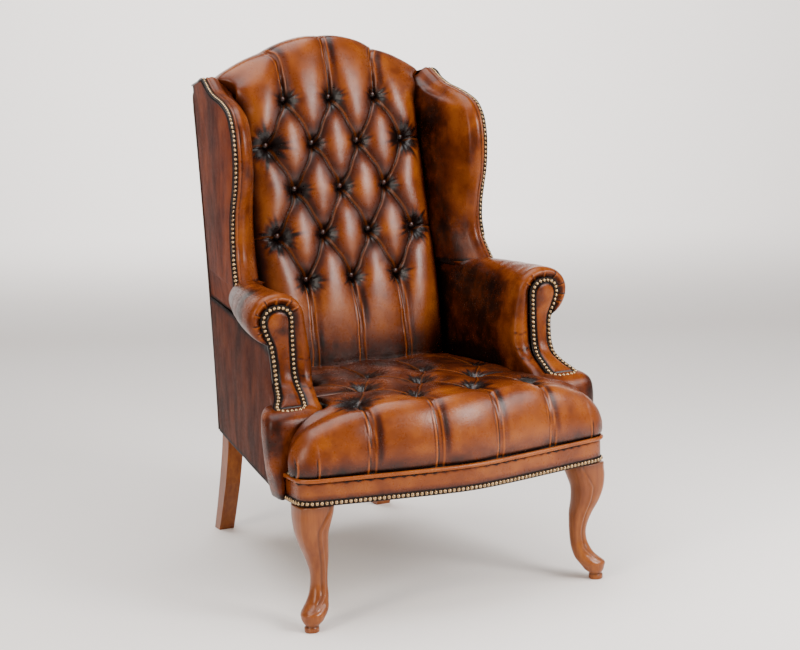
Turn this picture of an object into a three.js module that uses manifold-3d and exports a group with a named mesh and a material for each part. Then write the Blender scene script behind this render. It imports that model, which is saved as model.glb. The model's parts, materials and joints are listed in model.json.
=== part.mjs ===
// Wing armchair, deep-buttoned, with scroll arms, cabriole front legs and raked back legs.
// Millimetres. +Z up, the front faces -Y, the origin is on the floor under the middle of the chair.
// left_ is the sitter's left (+X) and right_ the sitter's right (-X); each pair is one mirrored shape.

import * as THREE from 'three';
import Module from 'manifold-3d';
import { mergeVertices } from 'three/addons/utils/BufferGeometryUtils.js';

const wasm = await Module();
wasm.setup();

// Driving dimensions.
const GAP = 0.4;
const CENTRE_SHIFT = 19;
const SKIN = 4;
const BORDER_BOTTOM = 237;
const WELT_Z = 286;
const WELT_RADIUS = 4;
const RAIL_BOTTOM = 242;
const RAIL_TOP = 290;
const RAIL_THICK = 24;

const SEAT_TOP = 413;
const SEAT_FRONT = -434;
const SEAT_BOW = 50;
const SEAT_EAR_X = 335;
const SEAT_EAR_BACK = -312;
const SEAT_REAR = 76;

const FRONT_LEG_X = 306;
const FRONT_LEG_Y = -362;
const BACK_LEG_WIDTH = 34;
const BACK_LEG_DEPTH = 36;
const BACK_FOOT_DEPTH = 29;
const BACK_FOOT_REAR = 396;
const BACK_FOOT_OUTER = 209;

const REAR_Y_LOW = 302;
const REAR_Y_RISE = 26;
const REAR_X_LOW = 222;
const REAR_X_RISE = 14;
const REAR_TOP_Z = 976;

const BACK_HALF = 203;
const BACK_FOOT_Y = 22;
const BACK_RAKE = 0.2287;
const CREST_LOW = 990;
const CREST_RISE = 82;
const CREST_SPAN = 285;
const CREST_HALF = 230;
const CREST_RIDGE_Y = 203;
const CREST_LAP = 60;
const PAD_TO_REAR = 44;

const ARM_FRONT = -202;
const ARM_REAR = 106;
const ARM_TOP = 606;
const ARM_LEG_THICK = 26;
const ROLL_RADIUS = 45;
const ROLL_OUTER = 343;

const WING_LOW = 607;
const WING_BAND = 26;
const WING_BAND_THICK = 6;
const BOARD_THICK = 17;

const BUTTON_RADIUS = 11;
const BUTTON_THICK = 8;
const BACK_BUTTON_DEPTH = 36;
const BACK_ROW_LOW = 583;
const BACK_ROW_PITCH = 91;
const BACK_COLUMN_HALF = 51;
const SEAT_ROW_FRONT = -320;
const SEAT_ROW_PITCH = 105;
const SEAT_COLUMN_HALF = 61;
const SEAT_BUTTON_Z = 396;

// Materials.
const finish = (color, roughness, metalness = 0) =>
  new THREE.MeshStandardMaterial({ color, roughness, metalness });
const LEATHER = finish(0xa65a24, 0.38);
const DARK_LEATHER = finish(0x6d3517, 0.42);
const LEG_WOOD = finish(0x7a3b1c, 0.3);
const BEECH = finish(0xc9a573, 0.7);
const SPRING_STEEL = finish(0x9a9a98, 0.35, 1);
const BRASS = finish(0xb8965a, 0.35, 1);
const WEBBING = finish(0x4a4238, 0.9);
const CAMBRIC = finish(0x161514, 0.95);

// The seat's own datum lies ahead of the middle of the whole chair, so the group is shifted.
const chair = new THREE.Group();
chair.position.y = CENTRE_SHIFT;
const lerp = THREE.MathUtils.lerp;
const clamp01 = (t) => Math.min(1, Math.max(0, t));

// Outer surfaces of the carcass, from which the inner pieces are set back.
function rearCurve(z) {
  return Math.pow(clamp01((z - BORDER_BOTTOM) / (REAR_TOP_Z - BORDER_BOTTOM)), 1.5);
}
const rearY = (z) => REAR_Y_LOW + REAR_Y_RISE * rearCurve(z);
const rearX = (z) => REAR_X_LOW + REAR_X_RISE * rearCurve(z);

// Outside of the arm: it flares towards the front and towards the bottom.
function armOuterX(y, z) {
  const drop = clamp01((505 - z) / 268);
  return 299 + 13 * drop - (0.1429 + 0.035 * drop) * (y + 203);
}

// Inside of the arm: the seat narrows towards the back.
const armInnerX = (y) => lerp(236, 206, clamp01((y - ARM_FRONT) / (ARM_REAR - ARM_FRONT)));

// Front of the back pad and the depth at which its buttons sit.
const backFrontY = (z) => 49 + BACK_RAKE * (z - BACK_ROW_LOW);
const backButtonY = (z) => backFrontY(z) + BACK_BUTTON_DEPTH;

function crestZ(x) {
  const wave = 0.5 + 0.5 * Math.cos((Math.PI * x) / CREST_SPAN);
  return CREST_LOW + CREST_RISE * Math.pow(wave, 0.8);
}

// Bowed seat front in plan: a soft point at the middle, straighter towards the corners.
function bowY(x, setBack = 0) {
  const soft = 60;
  const run = Math.sqrt(298 * 298 + soft * soft) - soft;
  return SEAT_FRONT + setBack + (SEAT_BOW * (Math.sqrt(x * x + soft * soft) - soft)) / run;
}

// Front edge of the wing, as y over z.
const WING_EDGE = new THREE.SplineCurve([
  new THREE.Vector2(-3, 605),
  new THREE.Vector2(25, 695),
  new THREE.Vector2(12, 760),
  new THREE.Vector2(-8, 850),
  new THREE.Vector2(22, 918),
  new THREE.Vector2(70, 946),
  new THREE.Vector2(136, 966),
  new THREE.Vector2(190, 994),
]);
const wingEdgeX = (z) => lerp(286, 260, clamp01((z - 605) / 387));

// Geometry helpers.
function solidFrom(vertices, triangles) {
  const geometry = new THREE.BufferGeometry();
  geometry.setAttribute('position', new THREE.Float32BufferAttribute(vertices.flat(), 3));
  geometry.setIndex(triangles.flat());
  return geometry;
}

// Skins a row of closed sections, all with the same number of points, and caps both ends.
function loft(rings) {
  const count = rings[0].length;
  const vertices = rings.flat();
  const triangles = [];
  for (let r = 0; r + 1 < rings.length; r += 1) {
    for (let i = 0; i < count; i += 1) {
      const a = r * count + i;
      const b = r * count + ((i + 1) % count);
      triangles.push([a, b, b + count], [a, b + count, a + count]);
    }
  }
  triangles.push(...cap(rings[0], 0, -1), ...cap(rings[rings.length - 1], vertices.length - count, 1));
  return facingOut(solidFrom(vertices, triangles));
}

// Fills a section, with its triangles following the outline's direction or, with turn -1, against it.
function cap(ring, first, turn) {
  const outline = ring.map((p) => sectionPlane(ring, p));
  const along = Math.sign(THREE.ShapeUtils.area(outline)) * turn;
  return THREE.ShapeUtils.triangulateShape(outline, []).map((corners) => {
    const same = Math.sign(THREE.ShapeUtils.area(corners.map((i) => outline[i]))) === along;
    const [a, b, c] = corners.map((i) => first + i);
    return same ? [a, b, c] : [a, c, b];
  });
}

// Two coordinates of a section's point: the axis along which the section is thinnest is left out.
function sectionPlane(ring, point) {
  const spans = [0, 1, 2].map((k) => {
    const values = ring.map((p) => p[k]);
    return Math.max(...values) - Math.min(...values);
  });
  const out = spans.indexOf(Math.min(...spans));
  const [u, v] = [[1, 2], [2, 0], [0, 1]][out];
  return new THREE.Vector2(point[u], point[v]);
}

// Signed volume decides which way the triangles have to turn; cap and wall already agree.
function facingOut(geometry) {
  const p = geometry.getAttribute('position');
  const index = Array.from(geometry.getIndex().array);
  const [a, b, c] = [new THREE.Vector3(), new THREE.Vector3(), new THREE.Vector3()];
  let volume = 0;
  for (let i = 0; i < index.length; i += 3) {
    a.fromBufferAttribute(p, index[i]);
    b.fromBufferAttribute(p, index[i + 1]);
    c.fromBufferAttribute(p, index[i + 2]);
    volume += a.dot(b.cross(c));
  }
  if (volume < 0) {
    for (let i = 0; i < index.length; i += 3) [index[i + 1], index[i + 2]] = [index[i + 2], index[i + 1]];
    geometry.setIndex(index);
  }
  return geometry;
}

function mirrored(geometry) {
  const copy = geometry.clone();
  copy.applyMatrix4(new THREE.Matrix4().makeScale(-1, 1, 1));
  const plain = copy.index ? copy : mergeVertices(copy);
  return facingOut(plain);
}

function bare(geometry) {
  const copy = geometry.clone();
  copy.deleteAttribute('normal');
  copy.deleteAttribute('uv');
  copy.clearGroups();
  return mergeVertices(copy, 1e-3);
}

function toManifold(geometry) {
  const plain = bare(geometry);
  return new wasm.Manifold(new wasm.Mesh({
    numProp: 3,
    vertProperties: new Float32Array(plain.getAttribute('position').array),
    triVerts: new Uint32Array(plain.getIndex().array),
  }));
}

function fromManifold(manifold) {
  const mesh = manifold.getMesh();
  const geometry = new THREE.BufferGeometry();
  geometry.setAttribute('position', new THREE.Float32BufferAttribute(mesh.vertProperties, 3));
  geometry.setIndex(Array.from(mesh.triVerts));
  return geometry;
}

const cut = (geometry, tools) =>
  fromManifold(tools.reduce((solid, tool) => solid.subtract(toManifold(tool)), toManifold(geometry)));
const join = (geometry, extras) =>
  fromManifold(extras.reduce((solid, extra) => solid.add(toManifold(extra)), toManifold(geometry)));

function block(low, high) {
  const size = high.map((value, k) => value - low[k]);
  const middle = high.map((value, k) => (value + low[k]) / 2);
  return new THREE.BoxGeometry(...size).translate(...middle);
}

// A plan outline raised from one height to another.
function slab(outline, bottom, top) {
  const shape = new THREE.Shape(outline.map(([x, y]) => new THREE.Vector2(x, y)));
  const options = { depth: top - bottom, bevelEnabled: false, curveSegments: 6 };
  return new THREE.ExtrudeGeometry(shape, options).translate(0, 0, bottom);
}

function tube(curve, radius, steps, sides = 6) {
  const section = new THREE.Shape();
  for (let i = 0; i < sides; i += 1) {
    const turn = (2 * Math.PI * i) / sides;
    const [u, v] = [radius * Math.cos(turn), radius * Math.sin(turn)];
    if (i === 0) section.moveTo(u, v);
    else section.lineTo(u, v);
  }
  return new THREE.ExtrudeGeometry(section, { steps, bevelEnabled: false, extrudePath: curve });
}

function add(name, geometry, material) {
  const mesh = new THREE.Mesh(geometry, material);
  mesh.name = name;
  chair.add(mesh);
}

function addPair(name, geometry, material) {
  add(`left_${name}`, geometry, material);
  add(`right_${name}`, mirrored(geometry), material);
}

const steps = (count, from, to) =>
  Array.from({ length: count + 1 }, (_, i) => lerp(from, to, i / count));

// Legs.
function cabrioleLeg() {
  // Height, how far the centre stands inward and back from the foot, half width, roundness.
  const stations = [
    [0, 0, 0, 13, 1], [9, 0, 0, 14, 1], [12, 1, 0, 13, 1], [18, 2, 1, 19, 1], [26, 5, 3, 24, 1],
    [35, 9, 6, 25, 0.95], [50, 18, 13, 21, 0.9], [62, 23, 17, 18.5, 0.85], [78, 26, 21, 16, 0.8],
    [95, 27, 22, 16, 0.8], [112, 26, 21, 17.5, 0.75], [135, 22, 18, 21.5, 0.7], [160, 15, 13, 25, 0.6],
    [185, 11, 11, 28, 0.5], [208, 13, 12, 32, 0.4], [BORDER_BOTTOM - GAP, 17, 14, 35, 0.35],
  ];
  const rings = stations.map(([z, inward, back, half, round]) =>
    roundedSection(FRONT_LEG_X - inward, FRONT_LEG_Y + back, z, half, round));
  const top = block([272, -352, BORDER_BOTTOM - 5], [308, -324, RAIL_TOP - GAP]);
  return join(loft(rings), [top]);
}

// Between a square (round = 0) and a circle (round = 1), on the diagonal of the chair's corner.
function roundedSection(x, y, z, half, round, sides = 16) {
  return Array.from({ length: sides }, (_, i) => {
    const turn = (2 * Math.PI * i) / sides + Math.PI / 4;
    const [c, s] = [Math.cos(turn), Math.sin(turn)];
    const square = half / Math.max(Math.abs(c), Math.abs(s));
    const reach = lerp(square, half, round);
    return [x + reach * c, y + reach * s, z];
  });
}

function backLegSection(z, outer, rear, width, depth) {
  const inner = outer - width;
  return [[inner, rear - depth, z], [outer, rear - depth, z], [outer, rear, z], [inner, rear, z]];
}

// One sawn piece: raked leg below the rail, post above it.
function backLegAndPost() {
  const rings = steps(6, 0, BORDER_BOTTOM).map((z) => {
    const t = z / BORDER_BOTTOM;
    const rear = lerp(BACK_FOOT_REAR, rearY(z) - SKIN - 1, 1 - Math.pow(1 - t, 1.2));
    const depth = lerp(BACK_FOOT_DEPTH, BACK_LEG_DEPTH, Math.min(1, 2 * t));
    return backLegSection(z, lerp(BACK_FOOT_OUTER, rearX(z) - 5, t), rear, BACK_LEG_WIDTH, depth);
  });
  for (const z of steps(4, RAIL_TOP, 924)) {
    rings.push(backLegSection(z, rearX(z) - 6, rearY(z) - 8, BACK_LEG_WIDTH, BACK_LEG_DEPTH - 4));
  }
  return loft(rings);
}

// Rails and blocks of the seat frame.
const sideRailOuter = (y) => armOuterX(y, BORDER_BOTTOM) - 7;

function frontRail() {
  const xs = steps(10, -271, 271);
  const outline = xs.map((x) => [x, bowY(x, 14)]);
  const inner = xs.map((x) => [x, bowY(x, 14) + RAIL_THICK]).reverse();
  return slab([...outline, ...inner], RAIL_BOTTOM, RAIL_TOP - GAP);
}

function sideRail() {
  const [front, rear] = [-318, 248];
  const outline = [
    [sideRailOuter(front) - 4, front], [sideRailOuter(rear) - 4, rear],
    [sideRailOuter(rear) - 4 - RAIL_THICK, rear], [sideRailOuter(front) - 4 - RAIL_THICK, front],
  ];
  return slab(outline, RAIL_BOTTOM, RAIL_TOP - GAP);
}

function cornerBlock(x, y, alongX, alongY) {
  return slab([[x, y], [x + alongX, y], [x, y + alongY]], RAIL_BOTTOM + 4, RAIL_TOP - 20);
}

function seatFrame() {
  add('front_rail', frontRail(), BEECH);
  add('back_rail', block([-180, 262, RAIL_BOTTOM], [180, 286, RAIL_TOP + 40]), BEECH);
  addPair('side_rail', sideRail(), BEECH);
  addPair('front_corner_block', cornerBlock(271.5, -349, -50, 44), BEECH);
  addPair('back_corner_block', cornerBlock(176, 261.5, -44, -44), BEECH);
}

// Springs and straps.
function zigzagSpring(x) {
  const [front, rear, wave, swing] = [-364, 258, 52, 21];
  const count = Math.round((rear - front) / wave) * 6;
  const points = steps(count, front, rear).map((y, i) =>
    new THREE.Vector3(x + swing * Math.sin((Math.PI * i) / 3), y, RAIL_TOP - 14));
  return tube(new THREE.CatmullRomCurve3(points), 1.9, count, 5);
}

function backStrap(x) {
  const half = 25;
  const rings = steps(5, 500, 915).map((z) => {
    const y = rearY(z) - PAD_TO_REAR + 2;
    return [[x - half, y, z], [x + half, y, z], [x + half, y + 2, z], [x - half, y + 2, z]];
  });
  return loft(rings);
}

// Upper frame.
function crossRail(bottom, top) {
  const half = rearX(bottom) - 6 - BACK_LEG_WIDTH - GAP;
  const y = rearY((bottom + top) / 2) - 10;
  return block([-half, y - 22, bottom], [half, y, top]);
}

function crestRail() {
  const rings = steps(12, -CREST_HALF + 14, CREST_HALF - 14).map((x) => {
    const top = crestZ(x) - CREST_LAP - 3;
    const [front, rear] = [rearY(REAR_TOP_Z) - 32, rearY(REAR_TOP_Z) - 9];
    return [[x, front, 925], [x, rear, 925], [x, rear, top], [x, front, top]];
  });
  return loft(rings);
}

function armRail() {
  const rings = steps(4, ARM_FRONT + 4, ARM_REAR).map((y) => {
    const [inner, outer] = [armInnerX(y) + ARM_LEG_THICK + GAP, armOuterX(y, 500) - SKIN - 3];
    return [[inner, y, 484], [outer, y, 484], [outer, y, 510], [inner, y, 510]];
  });
  return loft(rings);
}

const armStump = () => block([263.5, ARM_FRONT + 4, RAIL_TOP], [290, ARM_FRONT + 34, 484 - GAP]);

// Seat.
function seatOutline(setIn = 0) {
  const front = steps(12, -300 + setIn, 300 - setIn).map((x) => [x, bowY(x, setIn)]);
  const ear = SEAT_EAR_X - setIn;
  const shoulder = SEAT_EAR_BACK - setIn * 0.15;
  const right = [
    [ear - 10, bowY(300, setIn) + 3], [ear, bowY(300, setIn) + 13], [ear, shoulder],
    [232 - setIn * 0.3, shoulder], [205 - setIn * 0.3, SEAT_REAR - setIn * 0.1],
  ];
  const left = right.map(([x, y]) => [-x, y]).reverse();
  return [...front, ...right, ...left];
}

function seatPad() {
  // Height and set-in of each level: a full front lip, then a crowned top.
  const levels = [[RAIL_TOP + GAP, 7], [318, 0], [350, 0], [376, 6], [396, 18], [SEAT_TOP, 44]];
  const rounded = loft(levels.map(([z, setIn]) => seatOutline(setIn).map(([x, y]) => [x, y, z])));
  const slots = [0, 1, 2].map((row) => {
    const y = SEAT_ROW_FRONT + row * SEAT_ROW_PITCH;
    return block([-198, y - 13, seatRowZ(row) - 9], [198, y + 13, SEAT_TOP + 20]);
  });
  return cut(rounded, slots);
}

const seatRowZ = (row) => SEAT_BUTTON_Z + [0, 4, 5][row];

// Buttons of one row on the twine that ties them down, facing along +Z.
function buttonRow(xs) {
  const profile = [
    [0, -3], [BUTTON_RADIUS, -3], [BUTTON_RADIUS, 0], [BUTTON_RADIUS * 0.72, 3.6], [0, BUTTON_THICK - 3],
  ].map(([r, h]) => new THREE.Vector2(r, h));
  const dome = new THREE.LatheGeometry(profile, 12).rotateX(Math.PI / 2);
  const ends = [new THREE.Vector3(xs[0], 0, -3), new THREE.Vector3(xs[xs.length - 1], 0, -3)];
  const twine = tube(new THREE.LineCurve3(...ends), 1.5, 1);
  return join(twine, xs.map((x) => dome.clone().translate(x, 0, 0)));
}

const rowOf = (count, half) => steps(count - 1, -(count - 1) * half, (count - 1) * half);

function buttons() {
  for (let row = 0; row < 3; row += 1) {
    const geometry = buttonRow(rowOf(row === 1 ? 3 : 4, SEAT_COLUMN_HALF));
    geometry.translate(0, SEAT_ROW_FRONT + row * SEAT_ROW_PITCH, seatRowZ(row));
    add(`seat_button_row_${row + 1}`, geometry, LEATHER);
  }
  for (let row = 0; row < 5; row += 1) {
    const z = BACK_ROW_LOW + row * BACK_ROW_PITCH;
    const geometry = buttonRow(rowOf(row % 2 === 0 ? 3 : 4, BACK_COLUMN_HALF));
    geometry.rotateX(Math.PI / 2 - Math.atan(BACK_RAKE)).translate(0, backButtonY(z), z);
    add(`back_button_row_${row + 1}`, geometry, LEATHER);
  }
}

// Back.
function backPadSection(x) {
  const top = crestZ(x);
  return [
    [x, SEAT_REAR + 8, RAIL_TOP + 42], [x, SEAT_REAR + 8, SEAT_TOP + 1.5], [x, BACK_FOOT_Y, SEAT_TOP + 1.5],
    [x, backFrontY(BACK_ROW_LOW), BACK_ROW_LOW], [x, backFrontY(946), 946], [x, 150, lerp(946, top, 0.55)],
    [x, 172, top - 10], [x, CREST_RIDGE_Y, top], [x, 240, top - 6], [x, 280, top - 20],
    [x, rearY(REAR_TOP_Z) - 6.5, top - 44], [x, rearY(REAR_TOP_Z) - 6.5, top - CREST_LAP],
    [x, rearY(REAR_TOP_Z) - PAD_TO_REAR, top - CREST_LAP],
    ...[780, 590, RAIL_TOP + 42].map((z) => [x, rearY(z) - PAD_TO_REAR, z]),
  ];
}

function crestEndSection(x) {
  const top = crestZ(x);
  const rear = rearY(REAR_TOP_Z);
  return [
    [x, 186, top - 44], [x, 190, top - 8], [x, CREST_RIDGE_Y, top], [x, 240, top - 6], [x, 280, top - 20],
    [x, rear - 6.5, top - 44], [x, rear - PAD_TO_REAR, top - 46],
  ];
}

function backPad() {
  const body = loft(steps(8, -BACK_HALF, BACK_HALF).map(backPadSection));
  const crest = loft(steps(6, -CREST_HALF, CREST_HALF).map(crestEndSection));
  const slots = [0, 1, 2, 3, 4].map((row) => {
    const z = BACK_ROW_LOW + row * BACK_ROW_PITCH;
    return block([-170, backFrontY(z) - 40, z - 13], [170, backButtonY(z) + 10, z + 13]);
  });
  return cut(join(body, [crest]), slots);
}

function outsideBack() {
  const rings = steps(8, -1, 1).map((side) => {
    const heights = [BORDER_BOTTOM + 1, 420, 590, 780, 930];
    const column = heights.map((z) => [side * (rearX(z) - SKIN - 3), rearY(z), z]);
    const topX = side * (REAR_X_LOW + REAR_X_RISE - SKIN - 3);
    column.push([topX, rearY(REAR_TOP_Z), crestZ(topX) - 40]);
    return [...column, ...column.map(([x, y, z]) => [x, y - SKIN, z]).reverse()];
  });
  return loft(rings);
}

// Arms.
function armSection(y) {
  const t = clamp01((y - ARM_FRONT) / (ARM_REAR - ARM_FRONT));
  const inner = armInnerX(y);
  const radius = lerp(ROLL_RADIUS, 26, t);
  const outer = lerp(ROLL_OUTER, 264, Math.pow(t, 1.5));
  const [cx, cz] = [outer - radius, ARM_TOP - radius];
  const arc = steps(7, 150, -72).map((degrees) => {
    const turn = THREE.MathUtils.degToRad(degrees);
    return [cx + radius * Math.cos(turn), y, cz + radius * Math.sin(turn)];
  });
  const under = cz + radius * Math.sin(THREE.MathUtils.degToRad(-72));
  const leg = inner + ARM_LEG_THICK;
  return [
    [inner, y, RAIL_TOP + 1], [inner, y, 430], [inner + 1, y, 520], [inner + 6, y, 560], ...arc,
    [leg, y, under], [leg, y, RAIL_TOP + 1],
  ];
}

const armScroll = () => loft(steps(7, ARM_FRONT, ARM_REAR).map(armSection));

// The padded block under the arm's front, which the seat butts against; below the rail's top
// only its outer wall is left, outside the rail.
function armFoot() {
  // Height, inner x, outer x and front y.
  const stations = [
    [BORDER_BOTTOM + 1, 323, 333, -308], [262, 323, 340, -309], [RAIL_TOP, 323, 346, -309],
    [RAIL_TOP + 1, 240, 346, -309], [360, 240, 351, -307], [389, 240, 350, -302], [402, 244, 340, -292],
  ];
  const rings = stations.map(([z, inner, outer, front]) => {
    const chamfer = 8;
    const step = Math.min(312, outer - 10);
    return [
      [inner, front, z], [outer - chamfer, front, z], [outer, front + chamfer, z], [outer, -250, z],
      [outer - chamfer, -240, z], [Math.max(inner + 1, step), -238, z],
      [Math.max(inner + 0.5, step - 2), -206, z], [inner, -206, z],
    ];
  });
  return loft(rings);
}

// Front of the arm behind the facing, from the roll down to the seat: it sweeps forward as it drops.
const FACING_LEVELS = [404.5, 415, 430, 450, 475, 505, 530, 550];
const facingY = (z) => -206 - 66 * Math.pow(clamp01((520 - z) / 120), 2.4);
const facingTwist = (z) => 12 * Math.pow(clamp01((505 - z) / 105), 2);
const facingInner = (z) => (z > 505 ? 261 : lerp(261, 265, (505 - z) / 105));
function facingOuter(z) {
  if (z > 505) return 299 + 16 * Math.sin((Math.PI / 2) * clamp01((z - 505) / 45));
  return 299 + 22 * Math.pow((505 - z) / 105, 2.2);
}

function frontSlice(z, inset, near, far) {
  const [inner, outer] = [facingInner(z) + inset, facingOuter(z) - inset];
  const twist = facingTwist(z);
  return [
    [inner, facingY(z) - near, z], [outer, facingY(z) - near - twist, z],
    [outer, facingY(z) - far - twist, z], [inner, facingY(z) - far, z],
  ];
}

function armFacing() {
  const rings = FACING_LEVELS.map((z) => frontSlice(z, 0, 0.5, 8));
  rings.push(frontSlice(568, 6, 0.5, 8), frontSlice(580, 16, 0.5, 7));
  return loft(rings);
}

function armFrontPad() {
  const rings = [404, 415, 430, 450, 475, 505].map((z) => {
    const [inner, outer] = [240, Math.min(facingOuter(z) + 8, 330)];
    const back = ARM_FRONT + 3;
    return [
      [inner, facingY(z), z], [facingInner(z), facingY(z) - GAP + 0.2, z], [outer, facingY(z) - 0.3, z],
      [outer, back, z], [inner, back, z],
    ];
  });
  return loft(rings);
}

function outsideArm() {
  const rings = [BORDER_BOTTOM + 1, 320, 400, 470, 508].map((z) => {
    const [front, rear] = [ARM_FRONT + 4, rearY(z) - 1];
    const [a, b] = [armOuterX(front, z), rearX(z)];
    return [[a, front, z], [b, rear, z], [b - SKIN, rear, z], [a - SKIN, front, z]];
  });
  return loft(rings);
}

// Wings: every level is set out from the line between the rear corner and the front edge.
function wingLevel(z, edgeY) {
  const front = new THREE.Vector2(wingEdgeX(z), edgeY);
  const rear = new THREE.Vector2(rearX(z), rearY(z) - 1);
  const forward = front.clone().sub(rear).normalize();
  const inward = new THREE.Vector2(forward.y, -forward.x);
  const at = (base, ahead, depth) => {
    const p = base.clone().addScaledVector(forward, ahead).addScaledVector(inward, depth);
    return [p.x, p.y, base === rear ? Math.min(z, REAR_TOP_Z) : z];
  };
  return { front, rear, at };
}

function wingEdgeAt(z) {
  const points = WING_EDGE.getPoints(120);
  const above = points.findIndex((p) => p.y >= z);
  if (above <= 0) return above === 0 ? points[0].x : points[points.length - 1].x;
  const [a, b] = [points[above - 1], points[above]];
  return lerp(a.x, b.x, (z - a.y) / (b.y - a.y));
}

const WING_LEVELS = [WING_LOW, 650, 700, 760, 810, 855, 890, 920, 934, 946, 956, 964, 975, 992];
const wingLevels = (levels, section) => loft(levels.map((z) => section(wingLevel(z, wingEdgeAt(z)))));

function wingPanel() {
  const back = WING_BAND_THICK + GAP;
  return wingLevels(WING_LEVELS, ({ front, rear, at }) =>
    [at(front, -back, 0), at(rear, 0, 0), at(rear, 0, SKIN), at(front, -back, SKIN)]);
}

// Below the arm's top the wing's outside carries on down to the seam, behind the roll.
function lowerWingPanel() {
  const front = ARM_REAR + 4;
  const rings = [512, 540, 575, WING_LOW + 5].map((z) => {
    const { rear } = wingLevel(z, 0);
    const x = lerp(armOuterX(front, 505) + 3, 264, (z - 512) / 100);
    return [[x, front, z], [rear.x, rear.y, z], [rear.x - SKIN, rear.y, z], [x - SKIN, front, z]];
  });
  return loft(rings);
}

function wingBorder() {
  return wingLevels(WING_LEVELS, ({ front, at }) => [
    at(front, 0, 0), at(front, -WING_BAND_THICK, 0),
    at(front, -WING_BAND_THICK, WING_BAND), at(front, 0, WING_BAND),
  ]);
}

function wingNailStrip() {
  return wingLevels(WING_LEVELS, ({ front, at }) =>
    [at(front, 3, 2), at(front, GAP, 2), at(front, GAP, 11), at(front, 3, 11)]);
}

function wingBoard() {
  const back = WING_BAND_THICK + 1;
  const levels = WING_LEVELS.filter((z) => z < 950);
  return wingLevels(levels, ({ front, rear, at }) => [
    at(front, -back, SKIN + 4), at(rear, 46, SKIN + 4),
    at(rear, 46, SKIN + BOARD_THICK), at(front, -back, SKIN + BOARD_THICK),
  ]);
}

function wingPad() {
  const levels = WING_LEVELS.filter((z) => z < 960);
  const depth = SKIN + BOARD_THICK + 3;
  return loft(levels.map((z) => {
    const { front, rear, at } = wingLevel(z, wingEdgeAt(z));
    const back = WING_BAND_THICK + 1;
    const reach = front.y + back + 24;
    const meet = Math.max(backButtonY(z) + 12, reach + 8);
    const rearAhead = rear.y - meet;
    return [
      at(front, -back, depth), at(rear, rearAhead, depth), [BACK_HALF + 1.5, meet, z],
      [lerp(wingEdgeX(z) - 44, BACK_HALF + 6, 0.45), lerp(reach, meet, 0.5), z], at(front, -back - 14, 44),
      at(front, -back, 34),
    ];
  }));
}

// Seat border, welt and nail trim.
function frontLine(setBack, z) {
  const bow = steps(14, -296, 296).map((x) => new THREE.Vector3(x, bowY(x, setBack), z));
  const end = (side) => [
    new THREE.Vector3(side * (316 - setBack * 0.3), -368 + setBack, z),
    new THREE.Vector3(side * (325 - setBack), -346, z),
    new THREE.Vector3(side * (325 - setBack), -320, z),
  ];
  return [...end(-1).reverse(), ...bow, ...end(1)];
}

function bentBand(setBack, thickness, bottom, top) {
  const outer = frontLine(setBack, 0).map((p) => [p.x, p.y]);
  const inner = frontLine(setBack + thickness, 0).map((p) => [p.x, p.y]).reverse();
  return slab([...outer, ...inner], bottom, top);
}

function seatTrim() {
  add('front_border', bentBand(6, 5, BORDER_BOTTOM + 1, WELT_Z - WELT_RADIUS - 0.5), LEATHER);
  const weltLine = new THREE.CatmullRomCurve3(frontLine(4, WELT_Z));
  add('seat_welt', tube(weltLine, WELT_RADIUS, 28, 6), DARK_LEATHER);
  add('front_nail_strip', bentBand(2.6, 3, BORDER_BOTTOM + 2, BORDER_BOTTOM + 12), BRASS);
  const plan = [
    ...steps(8, -250, 250).map((x) => [x, bowY(x, 42)]), [268, -320], [176, 248], [-176, 248], [-268, -320],
  ];
  add('dust_cover', slab(plan, BORDER_BOTTOM + 1, BORDER_BOTTOM + 3.5), CAMBRIC);
}

function armNailStrip() {
  const side = (edge, inset) => FACING_LEVELS.map((z) => {
    const twist = edge === facingOuter ? facingTwist(z) : 0;
    return new THREE.Vector3(edge(z) + inset, facingY(z) - 12 - twist, z);
  });
  const arch = steps(4, 35, 145).map((degrees) => {
    const turn = THREE.MathUtils.degToRad(degrees);
    return new THREE.Vector3(288 + 22 * Math.cos(turn), facingY(560) - 12, 553 + 22 * Math.sin(turn));
  });
  const path = [...side(facingOuter, -5), ...arch, ...side(facingInner, 5).reverse()];
  return tube(new THREE.CatmullRomCurve3(path), 1.9, 40, 5);
}

// Assembly.
addPair('front_leg', cabrioleLeg(), LEG_WOOD);
addPair('back_leg', backLegAndPost(), LEG_WOOD);
seatFrame();
add('lower_back_rail', crossRail(470, 520), BEECH);
add('crest_rail', crestRail(), BEECH);
addPair('arm_stump', armStump(), BEECH);
addPair('arm_rail', armRail(), BEECH);
addPair('wing_board', wingBoard(), BEECH);
rowOf(4, 50).forEach((x, i) => add(`seat_spring_${i + 1}`, zigzagSpring(x), SPRING_STEEL));
[-70, 70].forEach((x, i) => add(`back_webbing_${i + 1}`, backStrap(x), WEBBING));
add('seat_pad', seatPad(), LEATHER);
add('back_pad', backPad(), LEATHER);
buttons();
addPair('arm_pad', join(armScroll(), [armFrontPad()]), LEATHER);
addPair('arm_foot_pad', armFoot(), LEATHER);
addPair('arm_facing', armFacing(), LEATHER);
addPair('arm_nail_strip', armNailStrip(), BRASS);
addPair('wing_pad', wingPad(), LEATHER);
addPair('wing_border', wingBorder(), LEATHER);
addPair('wing_nail_strip', wingNailStrip(), BRASS);
addPair('outside_wing', join(wingPanel(), [lowerWingPanel()]), DARK_LEATHER);
addPair('outside_arm', outsideArm(), DARK_LEATHER);
add('outside_back', outsideBack(), DARK_LEATHER);
seatTrim();

export default chair;
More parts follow.
